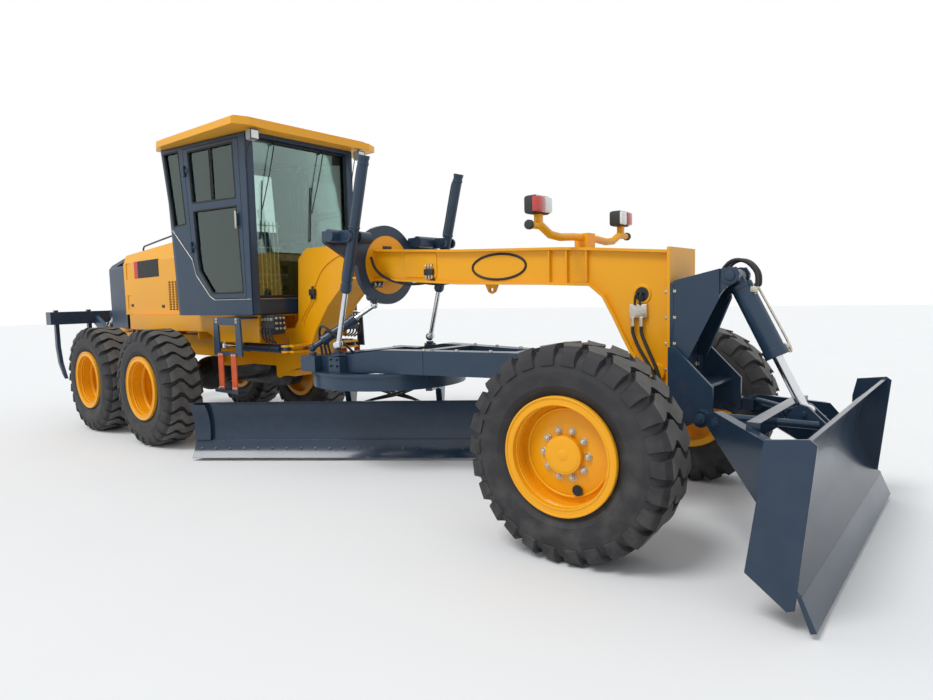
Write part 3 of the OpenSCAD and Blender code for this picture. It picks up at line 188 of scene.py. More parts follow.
@dataclass(frozen=True)
class Finish:
    """A procedural material for one kind of surface.

    Args:
        name: Name of the material.
        slot: The record's slot that it stands for; not used.
        kind: How it answers to light.
        colour: Its linear colour.
        roughness: Middle roughness.
        spread: How far the colour wanders over the surface.
        scale: Size of the wandering, per metre.
        bump: Depth of the fine grain, in metres.
        grain: Size of the fine grain, per metre.
        dust: How much pale dust lies low on the surface.
    """

    name: str
    slot: str
    kind: Kind
    colour: tuple[float, float, float, float]
    roughness: float = 0.4
    spread: float = 0.12
    scale: float = 3.0
    bump: float = 0.0004
    grain: float = 260.0
    dust: float = 0.0

    def make(self) -> bpy.types.Material:
        """Builds the material once and returns it after that.

        Returns:
            The material.
        """
        known = bpy.data.materials.get(self.name)
        if known:
            return known
        material = bpy.data.materials.new(self.name)
        material.use_nodes = True
        graph = Graph(material.node_tree)
        shader = self._glass(graph) if self.kind is Kind.GLASS else self._solid(graph)
        graph.add("OutputMaterial", {"Surface": shader})
        return material

    def _glass(self, graph: Graph) -> Socket:
        """Mixes a clear tinted pane that mirrors more at a low angle.

        Args:
            graph: The material's nodes.

        Returns:
            The mixed shader.
        """
        waves = graph.noise(graph.place(), 1.2)
        bump = graph.add("Bump", {"Strength": 0.06, "Distance": 0.01, "Height": waves})["Normal"]
        gloss = graph.add("BsdfGlossy", {
            "Roughness": self.roughness, "Color": PANE_SHEEN, "Normal": bump})["BSDF"]
        clear = graph.add("BsdfTransparent", {"Color": self.colour})["BSDF"]
        fresnel = graph.add("Fresnel", {"IOR": 1.55})["Fac"]
        share = graph.reckon("ADD", fresnel, 0.05)
        return graph.add("MixShader", {"Fac": share, 1: clear, 2: gloss})["Shader"]

    def _solid(self, graph: Graph) -> Socket:
        """Mixes an opaque surface with wandering colour, gloss, grain, soft edges and dust.

        Args:
            graph: The material's nodes.

        Returns:
            The shader.
        """
        place = graph.place()
        wander = graph.noise(place, self.scale, 5.0)
        shade = graph.fit(wander, (0.3, 0.7), (1.0 - self.spread, 1.0 + self.spread))
        colour = graph.add("VectorMath", {0: self.colour[:3], "Scale": shade},
                           operation="SCALE")["Vector"]
        if self.dust > 0:
            colour = self._dusty(graph, place, colour)
        gloss = graph.fit(wander, (0.25, 0.75),
                          (max(0.03, self.roughness - 0.08), min(1.0, self.roughness + 0.1)))
        relief = {"Strength": 0.35, "Distance": self.bump,
                  "Height": graph.noise(place, self.grain, 3.0)}
        if self.kind in (Kind.PAINT, Kind.METAL):
            relief["Normal"] = graph.add("Bevel", {"Radius": 0.006}, samples=4)["Normal"]
        surface = {"Base Color": colour, "Roughness": gloss,
                   "Normal": graph.add("Bump", relief)["Normal"]}
        return graph.add("BsdfPrincipled", surface | SHINE.get(self.kind, {}))["BSDF"]

    def _dusty(self, graph: Graph, place: Socket,
               colour: Socket) -> Socket:
        """Lays pale dust on the low part of a surface.

        Args:
            graph: The material's nodes.
            place: The object's coordinates.
            colour: The clean colour.

        Returns:
            The dusty colour.
        """
        height = graph.add("SeparateXYZ", {"Vector": place})["Z"]
        low = graph.fit(height, (1.3, 0.0), (0.25, 1.0))
        spots = graph.fit(graph.noise(place, 9.0, 8.0), (0.42, 0.75), (0.0, self.dust))
        return graph.add("Mix", {"Factor": graph.reckon("MULTIPLY", low, spots), "A": colour,
                                 "B": DUST}, data_type="RGBA")["Result"]


AMBER = Finish("amber_enamel", "yellow_paint", Kind.PAINT, linear(236, 164, 6), 0.38, 0.03, 1.2)
ROOF_AMBER = Finish("roof_enamel", "roof_paint", Kind.PAINT, linear(240, 170, 40), 0.44, 0.04, 1.4)
SLATE = Finish("slate_enamel", "blue_grey_paint", Kind.PAINT, linear(37, 58, 79), 0.32, 0.05,
               1.3, dust=0.06)
BLADE = Finish("blade_enamel", "blue_grey_paint", Kind.PAINT, linear(35, 53, 73), 0.17, 0.04,
               1.3, dust=0.03)
# Also fills the gooseneck's holes and the tower's port openings with dark, as painted shade.
NIGHT = Finish("underbody_enamel_and_port_shade", "dark_metal", Kind.PAINT, linear(34, 38, 43), 0.5, 0.2, 6.0,
               dust=0.35)
TREAD = Finish("tyre_tread", "tyre_rubber", Kind.RUBBER, linear(36, 36, 39), 0.66, 0.10, 9.0,
               0.0010, 150.0, 0.16)
LUG_TOP = Finish("tyre_lug_tops", "tyre_rubber", Kind.RUBBER, linear(84, 83, 81), 0.82, 0.16,
                 26.0, 0.0012, 190.0, 0.35)
HOSE = Finish("hose_rubber", "black_plastic", Kind.RUBBER, linear(28, 29, 31), 0.55, 0.1, 30.0)
# Also colours the dark disc that is painted shade in each wheel's valve opening.
SEAL = Finish("window_seal_and_valve_hole_shade", "black_plastic", Kind.RUBBER, linear(22, 24, 26), 0.6, 0.1, 20.0)
TRIM = Finish("cab_trim", "black_plastic", Kind.PLASTIC, linear(44, 47, 50), 0.6, 0.1, 9.0,
              0.0006, 420.0)
CLOTH = Finish("seat_weave", "seat_fabric", Kind.FABRIC, linear(46, 48, 52), 0.9, 0.12, 40.0,
               0.0012, 700.0)
CHROME = Finish("rod_chrome", "chrome_rod", Kind.METAL, linear(215, 218, 222), 0.14, 0.04, 5.0,
                0.0001, 500.0)
ZINC = Finish("zinc_bolts", "chrome_rod", Kind.METAL, linear(198, 192, 178), 0.42, 0.15, 40.0)
STRAP = Finish("strap_enamel", "strap_paint", Kind.PAINT, linear(196, 84, 44), 0.5, 0.12, 8.0)
GLASS = Finish("tinted_pane", "window_glass", Kind.GLASS, (0.84, 0.92, 0.90, 1), 0.02)
RED_LENS = Finish("red_lens", "strap_paint", Kind.LENS, linear(190, 30, 14), 0.15, 0.1, 60.0,
                  0.002, 90.0)
CLEAR_LENS = Finish("clear_lens", "window_glass", Kind.LENS, linear(225, 228, 230), 0.12, 0.06,
                    50.0, 0.002, 110.0)
PALE = Finish("pale_housing", "black_plastic", Kind.PLASTIC, linear(150, 156, 158), 0.5, 0.08, 9.0)
RED_ENAMEL = Finish("red_enamel", "strap_paint", Kind.PAINT, linear(196, 26, 34), 0.35, 0.05)
GUARD = Finish("guard_enamel", "window_glass", Kind.PAINT, linear(214, 206, 172), 0.5, 0.06)

COATS = (
    (AMBER, "hood rear_frame front_frame"),
    (ROOF_AMBER, "cab_roof"),
    (NIGHT, "engine tandem_drive drawbar_ball_shell"),
    (TRIM, "driver_seat control_console roof_lamps front_lamps"),
    (GLASS, "cab_glass left_door_glass right_door_glass"),
    (STRAP, "step_straps"),
    (BLADE, "moldboard cutting_edge dozer_blade"),
    (CHROME, "left_lift_rod right_lift_rod shift_rod left_hitch_rod right_hitch_rod dozer_rod"
             " ripper_rods"),
)


def dress() -> None:
    """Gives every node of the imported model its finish."""
    plan = {name: finish for finish, names in COATS for name in names.split()}
    for name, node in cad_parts.items():
        finish = plan.get(name, SLATE)
        if name.endswith("_tyre"):
            finish = TREAD
        if name.endswith("_rim"):
            finish = AMBER
        node.data.materials.clear()
        node.data.materials.append(finish.make())
        LOG.info("node %s: %s", name, finish.name)


def front(x: float, y: float, z: float) -> Vector:
    """Places a point that is given from the front axle."""
    return Vector((FRONT_X + x, y, z))


def circle(count: int, radius: float, first: float = 0.0) -> list[tuple[float, float]]:
    """Spreads points evenly round a circle, from a first angle in degrees."""
    turns = [math.radians(first + 360 * index / count) for index in range(count)]
    return [(radius * math.cos(turn), radius * math.sin(turn)) for turn in turns]


def stand(name: str, data: bpy.types.ID) -> bpy.types.Object:
    """Makes an object of its data and puts it in the scene.

    Args:
        name: Name of the object.
        data: Its mesh, camera or light.

    Returns:
        The object.
    """
    made = bpy.data.objects.new(name, data)
    bpy.context.scene.collection.objects.link(made)
    return made


def verts_of(geometry: Iterable[object]) -> list[Vert]:
    """Picks the vertices out of what an operator made."""
    return [item for item in geometry if isinstance(item, Vert)]


def edges_of(verts: Iterable[Vert]) -> set[bmesh.types.BMEdge]:
    """Gathers the edges that meet some vertices."""
    return {edge for vert in verts for edge in vert.link_edges}


def smooth_path(route: Sequence[Vector], steps: int = 5) -> list[Vector]:
    """Rounds a route into a smooth curve through its points.

    Args:
        route: The route.
        steps: Points in each stretch.

    Returns:
        The curve's points.
    """
    ends = [route[0] * 2 - route[1]] + route + [route[-1] * 2 - route[-2]]
    curve = []
    for index in range(1, len(ends) - 2):
        before, here, there, after = ends[index - 1:index + 3]
        for part in (step / steps for step in range(steps)):
            curve.append(0.5 * (2 * here + (there - before) * part
                                + (2 * before - 5 * here + 4 * there - after) * part ** 2
                                + (3 * here - before - 3 * there + after) * part ** 3))
    return curve + [route[-1]]


@dataclass
class Piece:
    """A piece in work: shaped with bmesh operators and then hung on its body.

    A plain point is given from the piece's origin and for the left side. A Vector is in the
    machine's frame already.

    Args:
        name: Name of the piece.
        finish: Its finish.
        body: The body that it rides on.
        origin: Place along X that its plain points are given from.
        side: The side that its plain points are turned to.
        stands_for: The nodes that it replaces.
        bm: The mesh in work.
    """

    name: str
    finish: Finish
    body: str
    origin: float = 0.0
    side: Side = Side.LEFT
    stands_for: Sequence[str] = ()
    bm: bmesh.types.BMesh = field(default_factory=bmesh.new)

    def way(self, x: float, y: float, z: float) -> Vector:
        """Turns a plain direction to the piece's side."""
        return Vector((x, self.side.value * y, z))

    def at(self, point: Spot) -> Vector:
        """Places a plain point and leaves a Vector as it is.

        Args:
            point: The point.

        Returns:
            The point in the machine's frame.
        """
        if isinstance(point, Vector):
            return point
        return self.way(self.origin + point[0], point[1], point[2])

    def _soften(self, edges: Iterable[bmesh.types.BMEdge], width: float, segments: int) -> None:
        """Bevels edges, where a width is given.

        Args:
            edges: The edges.
            width: Width of the bevel, or 0 for none.
            segments: Number of faces across it.
        """
        if width > 0:
            bmesh.ops.bevel(self.bm, geom=list(edges), offset=width, segments=segments,
                            affect="EDGES", profile=0.5, material=-1)

    def _turn(self, verts: list[Vert], place: Vector, way: Vector) -> None:
        """Turns vertices from the Z axis to a way and puts them in place."""
        turn = way.to_track_quat("Z", "Y").to_matrix().to_4x4()
        bmesh.ops.transform(self.bm, matrix=Matrix.Translation(place) @ turn, verts=verts)

    def outward(self, verts: Iterable[Vert]) -> None:
        """Faces everything that meets some vertices outwards."""
        faces = list({face for vert in verts for face in vert.link_faces})
        bmesh.ops.recalc_face_normals(self.bm, faces=faces)

    def extrude(self, faces: list[bmesh.types.BMFace], way: Vector) -> list[Vert]:
        """Grows faces into a body.

        Args:
            faces: The faces.
            way: The way and distance that they grow.

        Returns:
            The vertices of the far side.
        """
        moved = verts_of(bmesh.ops.extrude_face_region(self.bm, geom=faces)["geom"])
        bmesh.ops.translate(self.bm, vec=way, verts=moved)
        return moved

    def block(self, corner: Spot, opposite: Spot, bevel: float = 0.0) -> None:
        """Adds a box.

        Args:
            corner: One corner.
            opposite: The corner across from it.
            bevel: Width of the softened edges.
        """
        one, other = self.at(corner), self.at(opposite)
        size = Vector([abs(far - near) for near, far in zip(one, other)])
        made = bmesh.ops.create_cube(self.bm, size=1.0)["verts"]
        bmesh.ops.scale(self.bm, vec=size, verts=made)
        bmesh.ops.translate(self.bm, vec=(one + other) / 2, verts=made)
        self._soften(edges_of(made), bevel, 2)

    def rod(self, start: Spot, end: Spot, radius: float, sides: int = 20,
            bevel: float = 0.0) -> None:
        """Adds a round bar or, with six sides, a nut.

        Args:
            start: Middle of one end.
            end: Middle of the other end.
            radius: Its radius.
            sides: Number of sides.
            bevel: Width of the softened rim at both ends.
        """
        start, end = self.at(start), self.at(end)
        way = end - start
        made = bmesh.ops.create_cone(self.bm, cap_ends=True, segments=sides, radius1=radius,
                                     radius2=radius, depth=way.length)["verts"]
        self._turn(made, (start + end) / 2, way)
        rims = [edge for edge in edges_of(made)
                if any(len(face.verts) > 4 for face in edge.link_faces)]
        self._soften(rims, bevel, 2)

    def plate(self, outline: Sequence[Spot], thickness: float, bevel: float = 0.0) -> None:
        """Adds a flat plate that stands out sideways.

        Args:
            outline: Corners of its inner face, in order.
            thickness: How far it stands out.
            bevel: Width of the softened edges.
        """
        verts = [self.bm.verts.new(self.at(point)) for point in outline]
        face = self.bm.faces.new(verts)
        moved = self.extrude([face], self.way(0, thickness, 0))
        self.outward(verts + moved)
        self._soften(edges_of(verts + moved), bevel, 1)

    def tube(self, points: Sequence[Spot], radius: float, sides: int = 10,
             smooth: bool = True) -> None:
        """Adds a pipe or hose by pushing a circle along a route.

        Args:
            points: The route.
            radius: Radius of the tube.
            sides: Number of sides.
            smooth: Whether the route is rounded first.
        """
        route = [self.at(point) for point in points]
        route = smooth_path(route) if smooth else route
        last = len(route) - 1
        ways = [(route[min(i + 1, last)] - route[max(i - 1, 0)]).normalized()
                for i in range(last + 1)]
        ring = bmesh.ops.create_circle(self.bm, cap_ends=True, segments=sides,
                                       radius=radius)["verts"]
        self._turn(ring, route[0], ways[0])
        edges = list(edges_of(ring))
        everything = list(ring)
        for index in range(1, len(route)):
            grown = bmesh.ops.extrude_edge_only(self.bm, edges=edges)["geom"]
            ring = verts_of(grown)
            edges = [item for item in grown if isinstance(item, bmesh.types.BMEdge)
                     and all(vert in ring for vert in item.verts)]
            step = ways[index - 1].rotation_difference(ways[index]).to_matrix().to_4x4()
            move = Matrix.Translation(route[index]) @ step @ Matrix.Translation(-route[index - 1])
            bmesh.ops.transform(self.bm, matrix=move, verts=ring)
            everything += ring
        bmesh.ops.contextual_create(self.bm, geom=edges)
        self.outward(everything)

    def lathe(self, profile: Sequence[tuple[float, float]], centre: Spot = (0, 0, 0),
              axis: Point = ACROSS, steps: int = 64) -> None:
        """Adds a turned shape.

        Args:
            profile: Pairs of radius and place along the axis.
            centre: The point where the place along the axis is 0.
            axis: The plain direction of the axis.
            steps: Number of steps round.
        """
        old = set(self.bm.verts)
        verts = [self.bm.verts.new((radius, 0, along)) for radius, along in profile]
        edges = [self.bm.edges.new(pair) for pair in zip(verts, verts[1:])]
        bmesh.ops.spin(self.bm, geom=verts + edges, cent=(0, 0, 0), axis=UP,
                       angle=2 * math.pi, steps=steps, use_merge=True)
        made = [vert for vert in self.bm.verts if vert not in old]
        self._turn(made, self.at(centre), self.way(*axis))
        bmesh.ops.remove_doubles(self.bm, verts=made, dist=1e-6)
        self.outward(vert for vert in made if vert.is_valid)

    def bolts(self, places: Iterable[Spot], way: Point, radius: float, height: float) -> None:
        """Adds hexagon bolt heads, each on a washer.

        Args:
            places: Where they sit.
            way: The plain direction that the heads face.
            radius: Radius of a head.
            height: Height of a head.
        """
        out = self.way(*way)
        for place in places:
            foot = self.at(place) - out * 0.001
            self.rod(foot, foot + out * 0.0035, radius * 1.35, 16)
            self.rod(foot + out * 0.003, foot + out * (height + 0.003), radius, 6)

    def seal(self, corners: Sequence[Spot], radius: float) -> None:
        """Adds a seal round a pane, with a ball at each corner.

        Args:
            corners: The pane's corners in order.
            radius: Radius of the seal.
        """
        spots = [self.at(corner) for corner in corners]
        for spot, ahead in zip(spots, spots[1:] + spots[:1]):
            self.rod(spot, ahead, radius, 8)
            bmesh.ops.create_icosphere(self.bm, subdivisions=1, radius=radius,
                                       matrix=Matrix.Translation(spot))

    def hang(self, matrix: Matrix | None = None, angle: float = 35.0) -> bpy.types.Object:
        """Makes the object, gives it its finish and hangs it on its body.

        Args:
            matrix: Where the mesh goes, if it was shaped elsewhere.
            angle: Edges sharper than this stay sharp, in degrees.

        Returns:
            The object.
        """
        if matrix:
            bmesh.ops.transform(self.bm, matrix=matrix, verts=self.bm.verts)
            bmesh.ops.recalc_face_normals(self.bm, faces=self.bm.faces)
        mesh = bpy.data.meshes.new(self.name)
        self.bm.to_mesh(mesh)
        self.bm.free()
        mesh.shade_smooth()
        mesh.set_sharp_from_angle(angle=math.radians(angle))
        piece = stand(self.name, mesh)
        mesh.materials.append(self.finish.make())
        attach(piece, self.body)
        if self.stands_for:
            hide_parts(*self.stands_for)
        LOG.info("%s: %d faces", self.name, len(mesh.polygons))
        return piece


def both_sides(*pieces: Piece) -> Iterator[Side]:
    """Turns pieces to the left side, then to the right, and back to the left at the end.

    Args:
        pieces: The pieces.

    Yields:
        The side that they are turned to.
    """
    for side in Side:
        for piece in pieces:
            piece.side = side
        yield side
    for piece in pieces:
        piece.side = Side.LEFT


LUGS = 26
LUG_TOP_R = 0.6645
LUG_FOOT = 0.385
LUG_MIDDLE = 0.33
LUG_END = 0.29
NUT_CIRCLE = 0.148
VALVE_CIRCLE = 0.232
VALVE_ANGLE = -72
FRONT_DISC_Y = 0.105
TANDEM_DISC_Y = -0.060
TYRE_HALF = (
    (0.327, 0.170), (0.372, 0.180), (0.380, 0.186), (0.392, 0.190), (0.400, 0.198),
    (0.424, 0.209), (0.430, 0.2135), (0.437, 0.2125), (0.470, 0.2205), (0.500, 0.2222),
    (0.520, 0.2215), (0.526, 0.2185), (0.548, 0.2155), (0.5725, 0.2085), (0.5985, 0.1965),
    (0.6205, 0.1765), (0.6365, 0.1505), (0.6425, 0.1125), (0.6435, 0.03),
)
CROWN_HALF = (
    (0.2215, 0.5605, 0.2125, 0.5585, 0.0), (0.2165, 0.6005, 0.1925, 0.5945, 0.0),
    (0.2025, 0.6385, 0.1745, 0.6225, 0.0), (0.1645, 0.6695, 0.1485, 0.6385, 0.02),
    (0.1175, 0.6725, 0.1145, 0.6425, 0.14), (0.0725, 0.6725, 0.0725, 0.6435, 0.30),
    (0.0300, 0.6725, 0.0300, 0.6435, 0.22),
)
RIM_RINGS = (
    ((0.3515, 0.2128), (0.354, 0.2182), (0.3605, 0.2203), (0.3663, 0.2175), (0.3672, 0.2122)),
    ((0.3115, 0.2122), (0.3128, 0.2163), (0.318, 0.2178), (0.3235, 0.2163), (0.3245, 0.2122)),
    ((0.3117, 0.176), (0.3065, 0.171), (0.3065, 0.163), (0.3117, 0.158)),
    ((0.3117, 0.150), (0.3085, 0.147), (0.3085, 0.143), (0.3117, 0.140)),
)
TANDEM_RING = ((0.3117, 0.062), (0.298, 0.050), (0.296, 0.030), (0.3117, 0.010))


@dataclass
class Wheel:
    """One wheel: a tyre with wavy lugs, nuts, a hub cap, rings and a dark disc painted as the
    shade in the valve opening.

    Args:
        axle: front, middle or rear.
        side: Side of the machine.
    """

    axle: str
    side: Side

    def piece(self, name: str, finish: Finish) -> Piece:
        """Starts a piece of this wheel, in axes with Y outboard."""
        wheel = f"{self.axle}_{self.side.label}"
        return Piece(f"{wheel}_{name}", finish, f"{wheel}_wheel")

    def matrix(self) -> Matrix:
        """Finds where the wheel stands, from axes with Y outboard.

        Returns:
            The matrix into the machine's frame.
        """
        sign = self.side.value
        mirror = Matrix.Scale(sign, 4, ACROSS)
        if self.axle == "front":
            turn = Matrix.Rotation(PARKED_STEER, 4, "Z")
            pin = Matrix.Translation((FRONT_X, sign * (WHEEL_Y - KINGPIN_IN), AXLE_Z))
            return pin @ turn @ Matrix.Translation((0, sign * KINGPIN_IN, 0)) @ mirror
        reach = 0.5 if self.axle == "middle" else -0.5
        return Matrix.Translation((TANDEM_X + reach * TANDEM_PITCH, sign * WHEEL_Y,
                                   AXLE_Z)) @ mirror

    def tyre(self) -> None:
        """Builds the casing and the lugs and replaces the plain tyre."""
        tyre = self.piece("lugged_tyre", TREAD)
        tyre.stands_for = (f"{self.axle}_{self.side.label}_tyre",)
        tyre.lathe([(radius, -along) for radius, along in TYRE_HALF] + list(TYRE_HALF[::-1]),
                   steps=104)
        far = [(-a, b, -c, d, -e) for a, b, c, d, e in CROWN_HALF]
        pitch = 2 * math.pi / LUGS
        for index in range(LUGS):
            self._lug(tyre.bm, far + list(CROWN_HALF[::-1]), index * pitch, pitch)
        for face in tyre.bm.faces:
            middle = face.calc_center_median()
            if math.hypot(middle.x, middle.z) > LUG_TOP_R:
                face.material_index = 1
        made = tyre.hang(self.matrix(), 32)
        made.data.materials.append(LUG_TOP.make())

    @staticmethod
    def _lug(bm: bmesh.types.BMesh, stations: Sequence[tuple[float, ...]], start: float,
             pitch: float) -> None:
        """Adds one wavy lug across the tread.

        Args:
            bm: The tyre's mesh.
            stations: For each row across the tread: place and radius of the lug's top, place and
                radius of its foot, and how far the row is bent round the tyre.
            start: Angle of the lug.
            pitch: Angle between lugs.
        """
        count = len(stations)
        made = bmesh.ops.create_grid(bm, x_segments=1, y_segments=count - 1, size=1.0)["verts"]
        made.sort(key=lambda vert: (round(vert.co.y, 4), vert.co.x))
        rows = {vert: (index // 2, -1 if index % 2 == 0 else 1)
                for index, vert in enumerate(made)}
        rim = [edge for edge in edges_of(made) if len(edge.link_faces) == 1]
        places = {}
        for foot in verts_of(bmesh.ops.extrude_edge_only(bm, edges=rim)["geom"]):
            row, hand = rows[min(made, key=lambda top: (top.co - foot.co).length)]
            _, _, across, radius, bend = stations[row]
            places[foot] = (across, radius, start + pitch * (bend + hand * LUG_FOOT))
        for top, (row, hand) in rows.items():
            across, radius, _, _, bend = stations[row]
            share = LUG_MIDDLE if 2 < row < count - 3 else LUG_END
            places[top] = (across, radius, start + pitch * (bend + hand * share))
        for vert, (across, radius, angle) in places.items():
            vert.co = (radius * math.cos(angle), across, radius * math.sin(angle))
        edges = [edge for edge in rim if edge.is_valid]
        bmesh.ops.bevel(bm, geom=edges, offset=0.006, segments=1, affect="EDGES",
                        profile=0.5, material=-1)

    def trim(self) -> None:
        """Adds the nuts, a dark disc painted as the shade in the valve opening, the hub cap and
        the rings of the rim.
        """
        disc = FRONT_DISC_Y if self.axle == "front" else TANDEM_DISC_Y
        nuts = self.piece("nuts", ZINC)
        for x, z in circle(10, NUT_CIRCLE):
            nuts.rod((x, disc - 0.001, z), (x, disc + 0.005, z), 0.024, 18)
            nuts.rod((x, disc + 0.004, z), (x, disc + 0.025, z), 0.0185, 6)
            nuts.rod((x, disc + 0.02, z), (x, disc + 0.034, z), 0.0095, 12, 0.001)
        nuts.hang(self.matrix())
        # Painted shade: a dark disc stands in for the shaded inside of the valve opening.
        valve = self.piece("valve_opening_shade", SEAL)
        x, z = circle(1, VALVE_CIRCLE, VALVE_ANGLE)[0]
        valve.rod((x, disc - 0.004, z), (x, disc + 0.003, z), 0.033, 20)
        valve.hang(self.matrix())
        rings = self.piece("cap_and_rings", AMBER)
        rings.lathe([(radius, disc + along) for radius, along in (
            (0.0, 0.058), (0.030, 0.058), (0.036, 0.054), (0.096, 0.056), (0.106, 0.053),
            (0.110, 0.0505))], steps=48)
        rings.lathe([(radius, disc - depth) for radius, depth in (
            (0.262, 0.018), (0.268, 0.011), (0.276, 0.012), (0.282, 0.024))], steps=72)
        for ring in RIM_RINGS if self.axle == "front" else (*RIM_RINGS, TANDEM_RING):
            rings.lathe(ring, steps=96)
        rings.hang(self.matrix())

    def build(self) -> None:
        """Builds the wheel's pieces."""
        self.tyre()
        self.trim()


class Group:
    """Pieces that share a body and the place along X that their points are given from."""

    body: str = REAR_BODY
    origin: float = HITCH_X

    def __init__(self) -> None:
        """Starts without a piece."""
        self.made: list[Piece] = []

    def piece(self, name: str, finish: Finish, body: str = "",
              side: Side = Side.LEFT) -> Piece:
        """Starts a piece on the group's body, or on another where one is named."""
        self.made.append(Piece(name, finish, body or self.body, self.origin, side))
        return self.made[-1]

    def pieces(self, **wanted: Finish) -> list[Piece]:
        """Starts several pieces, each named with its finish."""
        return [self.piece(name, finish) for name, finish in wanted.items()]

    def shape(self) -> None:
        """Shapes the group's pieces, which each group does in its own way."""
        raise NotImplementedError

    def build(self) -> None:
        """Shapes the pieces and hangs those that don't hang yet, in their order."""
        self.shape()
        for piece in self.made:
            if piece.bm.is_valid:
                piece.hang()


class Gooseneck(Group):
    """Trim of the front frame: ovals, panels, hoses, ports, lamps and the tower's pipes."""

    body = FRONT_BODY
    origin = FRONT_X

    @staticmethod
    def web_z(x: float, share: float) -> float:
        """Finds a height on the web between its lower and upper edges.

        Args:
            x: Place along the web, from the front axle.
            share: 0 at the lower edge and 1 at the upper.

        Returns:
            The height.
        """
        top = 2.12 + (x + 2.74) / 2.40 * (1.982 - 2.12)
        low = 1.814 + (x + 2.66) / 2.303 * (1.695 - 1.814)
        return low + share * (top - low)

    def badge(self) -> None:
        """Adds the blank oval on both webs and the raised panel behind it."""
        oval, panel = self.pieces(gooseneck_oval=SEAL, gooseneck_panels=AMBER)
        y = BEAM_HALF + 0.0005
        x, z = -1.225, self.web_z(-1.225, 0.48)
        ring = [(x + 0.278 * a, y, z + 0.106 * b) for a, b in circle(48, 1.0)]
        loop = []
        for corner_x, share, quarter in ((-1.95, 0.22, 0), (-1.95, 0.78, 1), (-2.30, 0.78, 2),
                                         (-2.30, 0.22, 3)):
            loop += [(corner_x + a, y, self.web_z(corner_x, share) + b)
                     for a, b in circle(16, 0.03, -90 + 90 * quarter)[:5]]
        for _ in both_sides(oval, panel):
            oval.tube(ring + ring[:1], 0.0105, 8, smooth=False)
            panel.plate(loop, 0.007, 0.003)

    def hoses(self) -> None:
        """Adds the hose pairs down the nose and the loops at the saddle."""
        hose = self.piece("gooseneck_hoses", HOSE)
        for _ in both_sides(hose):
            for lag in (0.0, 0.065):
                hose.tube([(lag - 0.005, 0.182, 1.40), (lag, 0.184, 1.34),
                           (lag + 0.045, 0.186, 1.24), (lag * 0.7 + 0.12, 0.186, 1.12),
                           (lag * 0.4 + 0.175, 0.186, 1.02), (lag * 0.3 + 0.19, 0.180, 0.93)],
                          0.0125)
                hose.tube([(lag * 0.5 + 0.03, 0.140, 1.63), (lag * 0.5 + 0.025, 0.185, 1.625),
                           (lag * 0.6 + 0.015, 0.186, 1.585), (lag * 0.6 + 0.012, 0.184, 1.55)],
                          0.009)
            hose.tube([(-2.67, 0.27, 2.04), (-2.655, 0.235, 1.93), (-2.58, 0.19, 1.845),
                       (-2.42, 0.172, 1.79), (-2.22, 0.170, 1.765), (-2.02, 0.168, 1.775),
                       (-1.95, 0.166, 1.80)], 0.014)

    def ports(self) -> None:
        """Adds the side holes with their rims, thin dark fills as painted shade in two of the
        holes, the valve blocks and their fittings.
        """
        rim, dark, grey = self.pieces(gooseneck_port_rims=AMBER, gooseneck_valves=NIGHT,
                                      gooseneck_fittings=ZINC)
        y = BEAM_HALF
        hole = [(a - 2.01, y, b + 1.96) for a, b in (
            (-0.078, -0.030), (-0.078, 0.030), (-0.062, 0.047), (0.062, 0.047), (0.078, 0.030),
            (0.078, -0.030), (0.062, -0.047), (-0.062, -0.047), (-0.078, -0.030))]
        for _ in both_sides(rim, dark, grey):
            for x, z, radius in ((0.055, 1.623, 0.052), (0.165, 1.068, 0.03)):
                rim.lathe([(radius, 0.0), (radius, 0.008), (radius + 0.012, 0.010),
                           (radius + 0.020, 0.0)], (x, y, z), steps=32)
            # Painted shade: a thin dark disc and a thin dark plate fill the round hole and the
            # rounded hole in place of their shaded insides.
            dark.rod((0.055, y, 1.623), (0.055, y + 0.003, 1.623), 0.052, 32)
            dark.block((-2.085, y - 0.004, 1.915), (-1.935, y + 0.004, 2.005), 0.0035)
            rim.tube(hole, 0.005, 8)
            dark.block((-2.06, y - 0.034, 1.84), (-1.95, y + 0.034, 1.895), 0.006)
            grey.block((-0.035, y - 0.03, 1.455), (0.10, y + 0.03, 1.555), 0.006)
            for x in (-0.005, 0.060):
                grey.rod((x, y + 0.032, 1.395), (x, y + 0.032, 1.46), 0.015, 6)
            for x in (-2.040, -2.005, -1.970):
                grey.tube([(x, y + 0.018, 1.89), (x, y + 0.030, 1.92), (x, y + 0.004, 1.945)],
                          0.007, 8)
                grey.rod((x, y + 0.02, 1.84), (x, y + 0.02, 1.805), 0.010, 6)

    def mast(self) -> None:
        """Adds the lamps on the gull-wing pipe, their brackets and the pipe's end caps."""
        made = self.pieces(lamp_brackets=AMBER, mast_end_caps=TRIM, front_lamp_housings=TRIM,
                           indicator_lenses=RED_LENS, headlamp_lenses=CLEAR_LENS)
        bracket, cap, shell, red, clear = made
        shell.stands_for = ("front_lamps",)
        for _ in both_sides(*made):
            bracket.block((-0.525, 0.615, 2.12), (-0.475, 0.665, 2.212), 0.006)
            bracket.rod((-0.50, 0.62, 2.125), (-0.50, 0.745, 2.125), 0.026, 18)
            cap.rod((-0.50, 0.742, 2.125), (-0.50, 0.775, 2.125), 0.034, 20, 0.006)
            shell.block((-0.562, 0.54, 2.204), (-0.452, 0.74, 2.332), 0.022)
            red.block((-0.490, 0.642, 2.214), (-0.436, 0.742, 2.322), 0.012)
            clear.block((-0.480, 0.546, 2.214), (-0.438, 0.640, 2.322), 0.012)

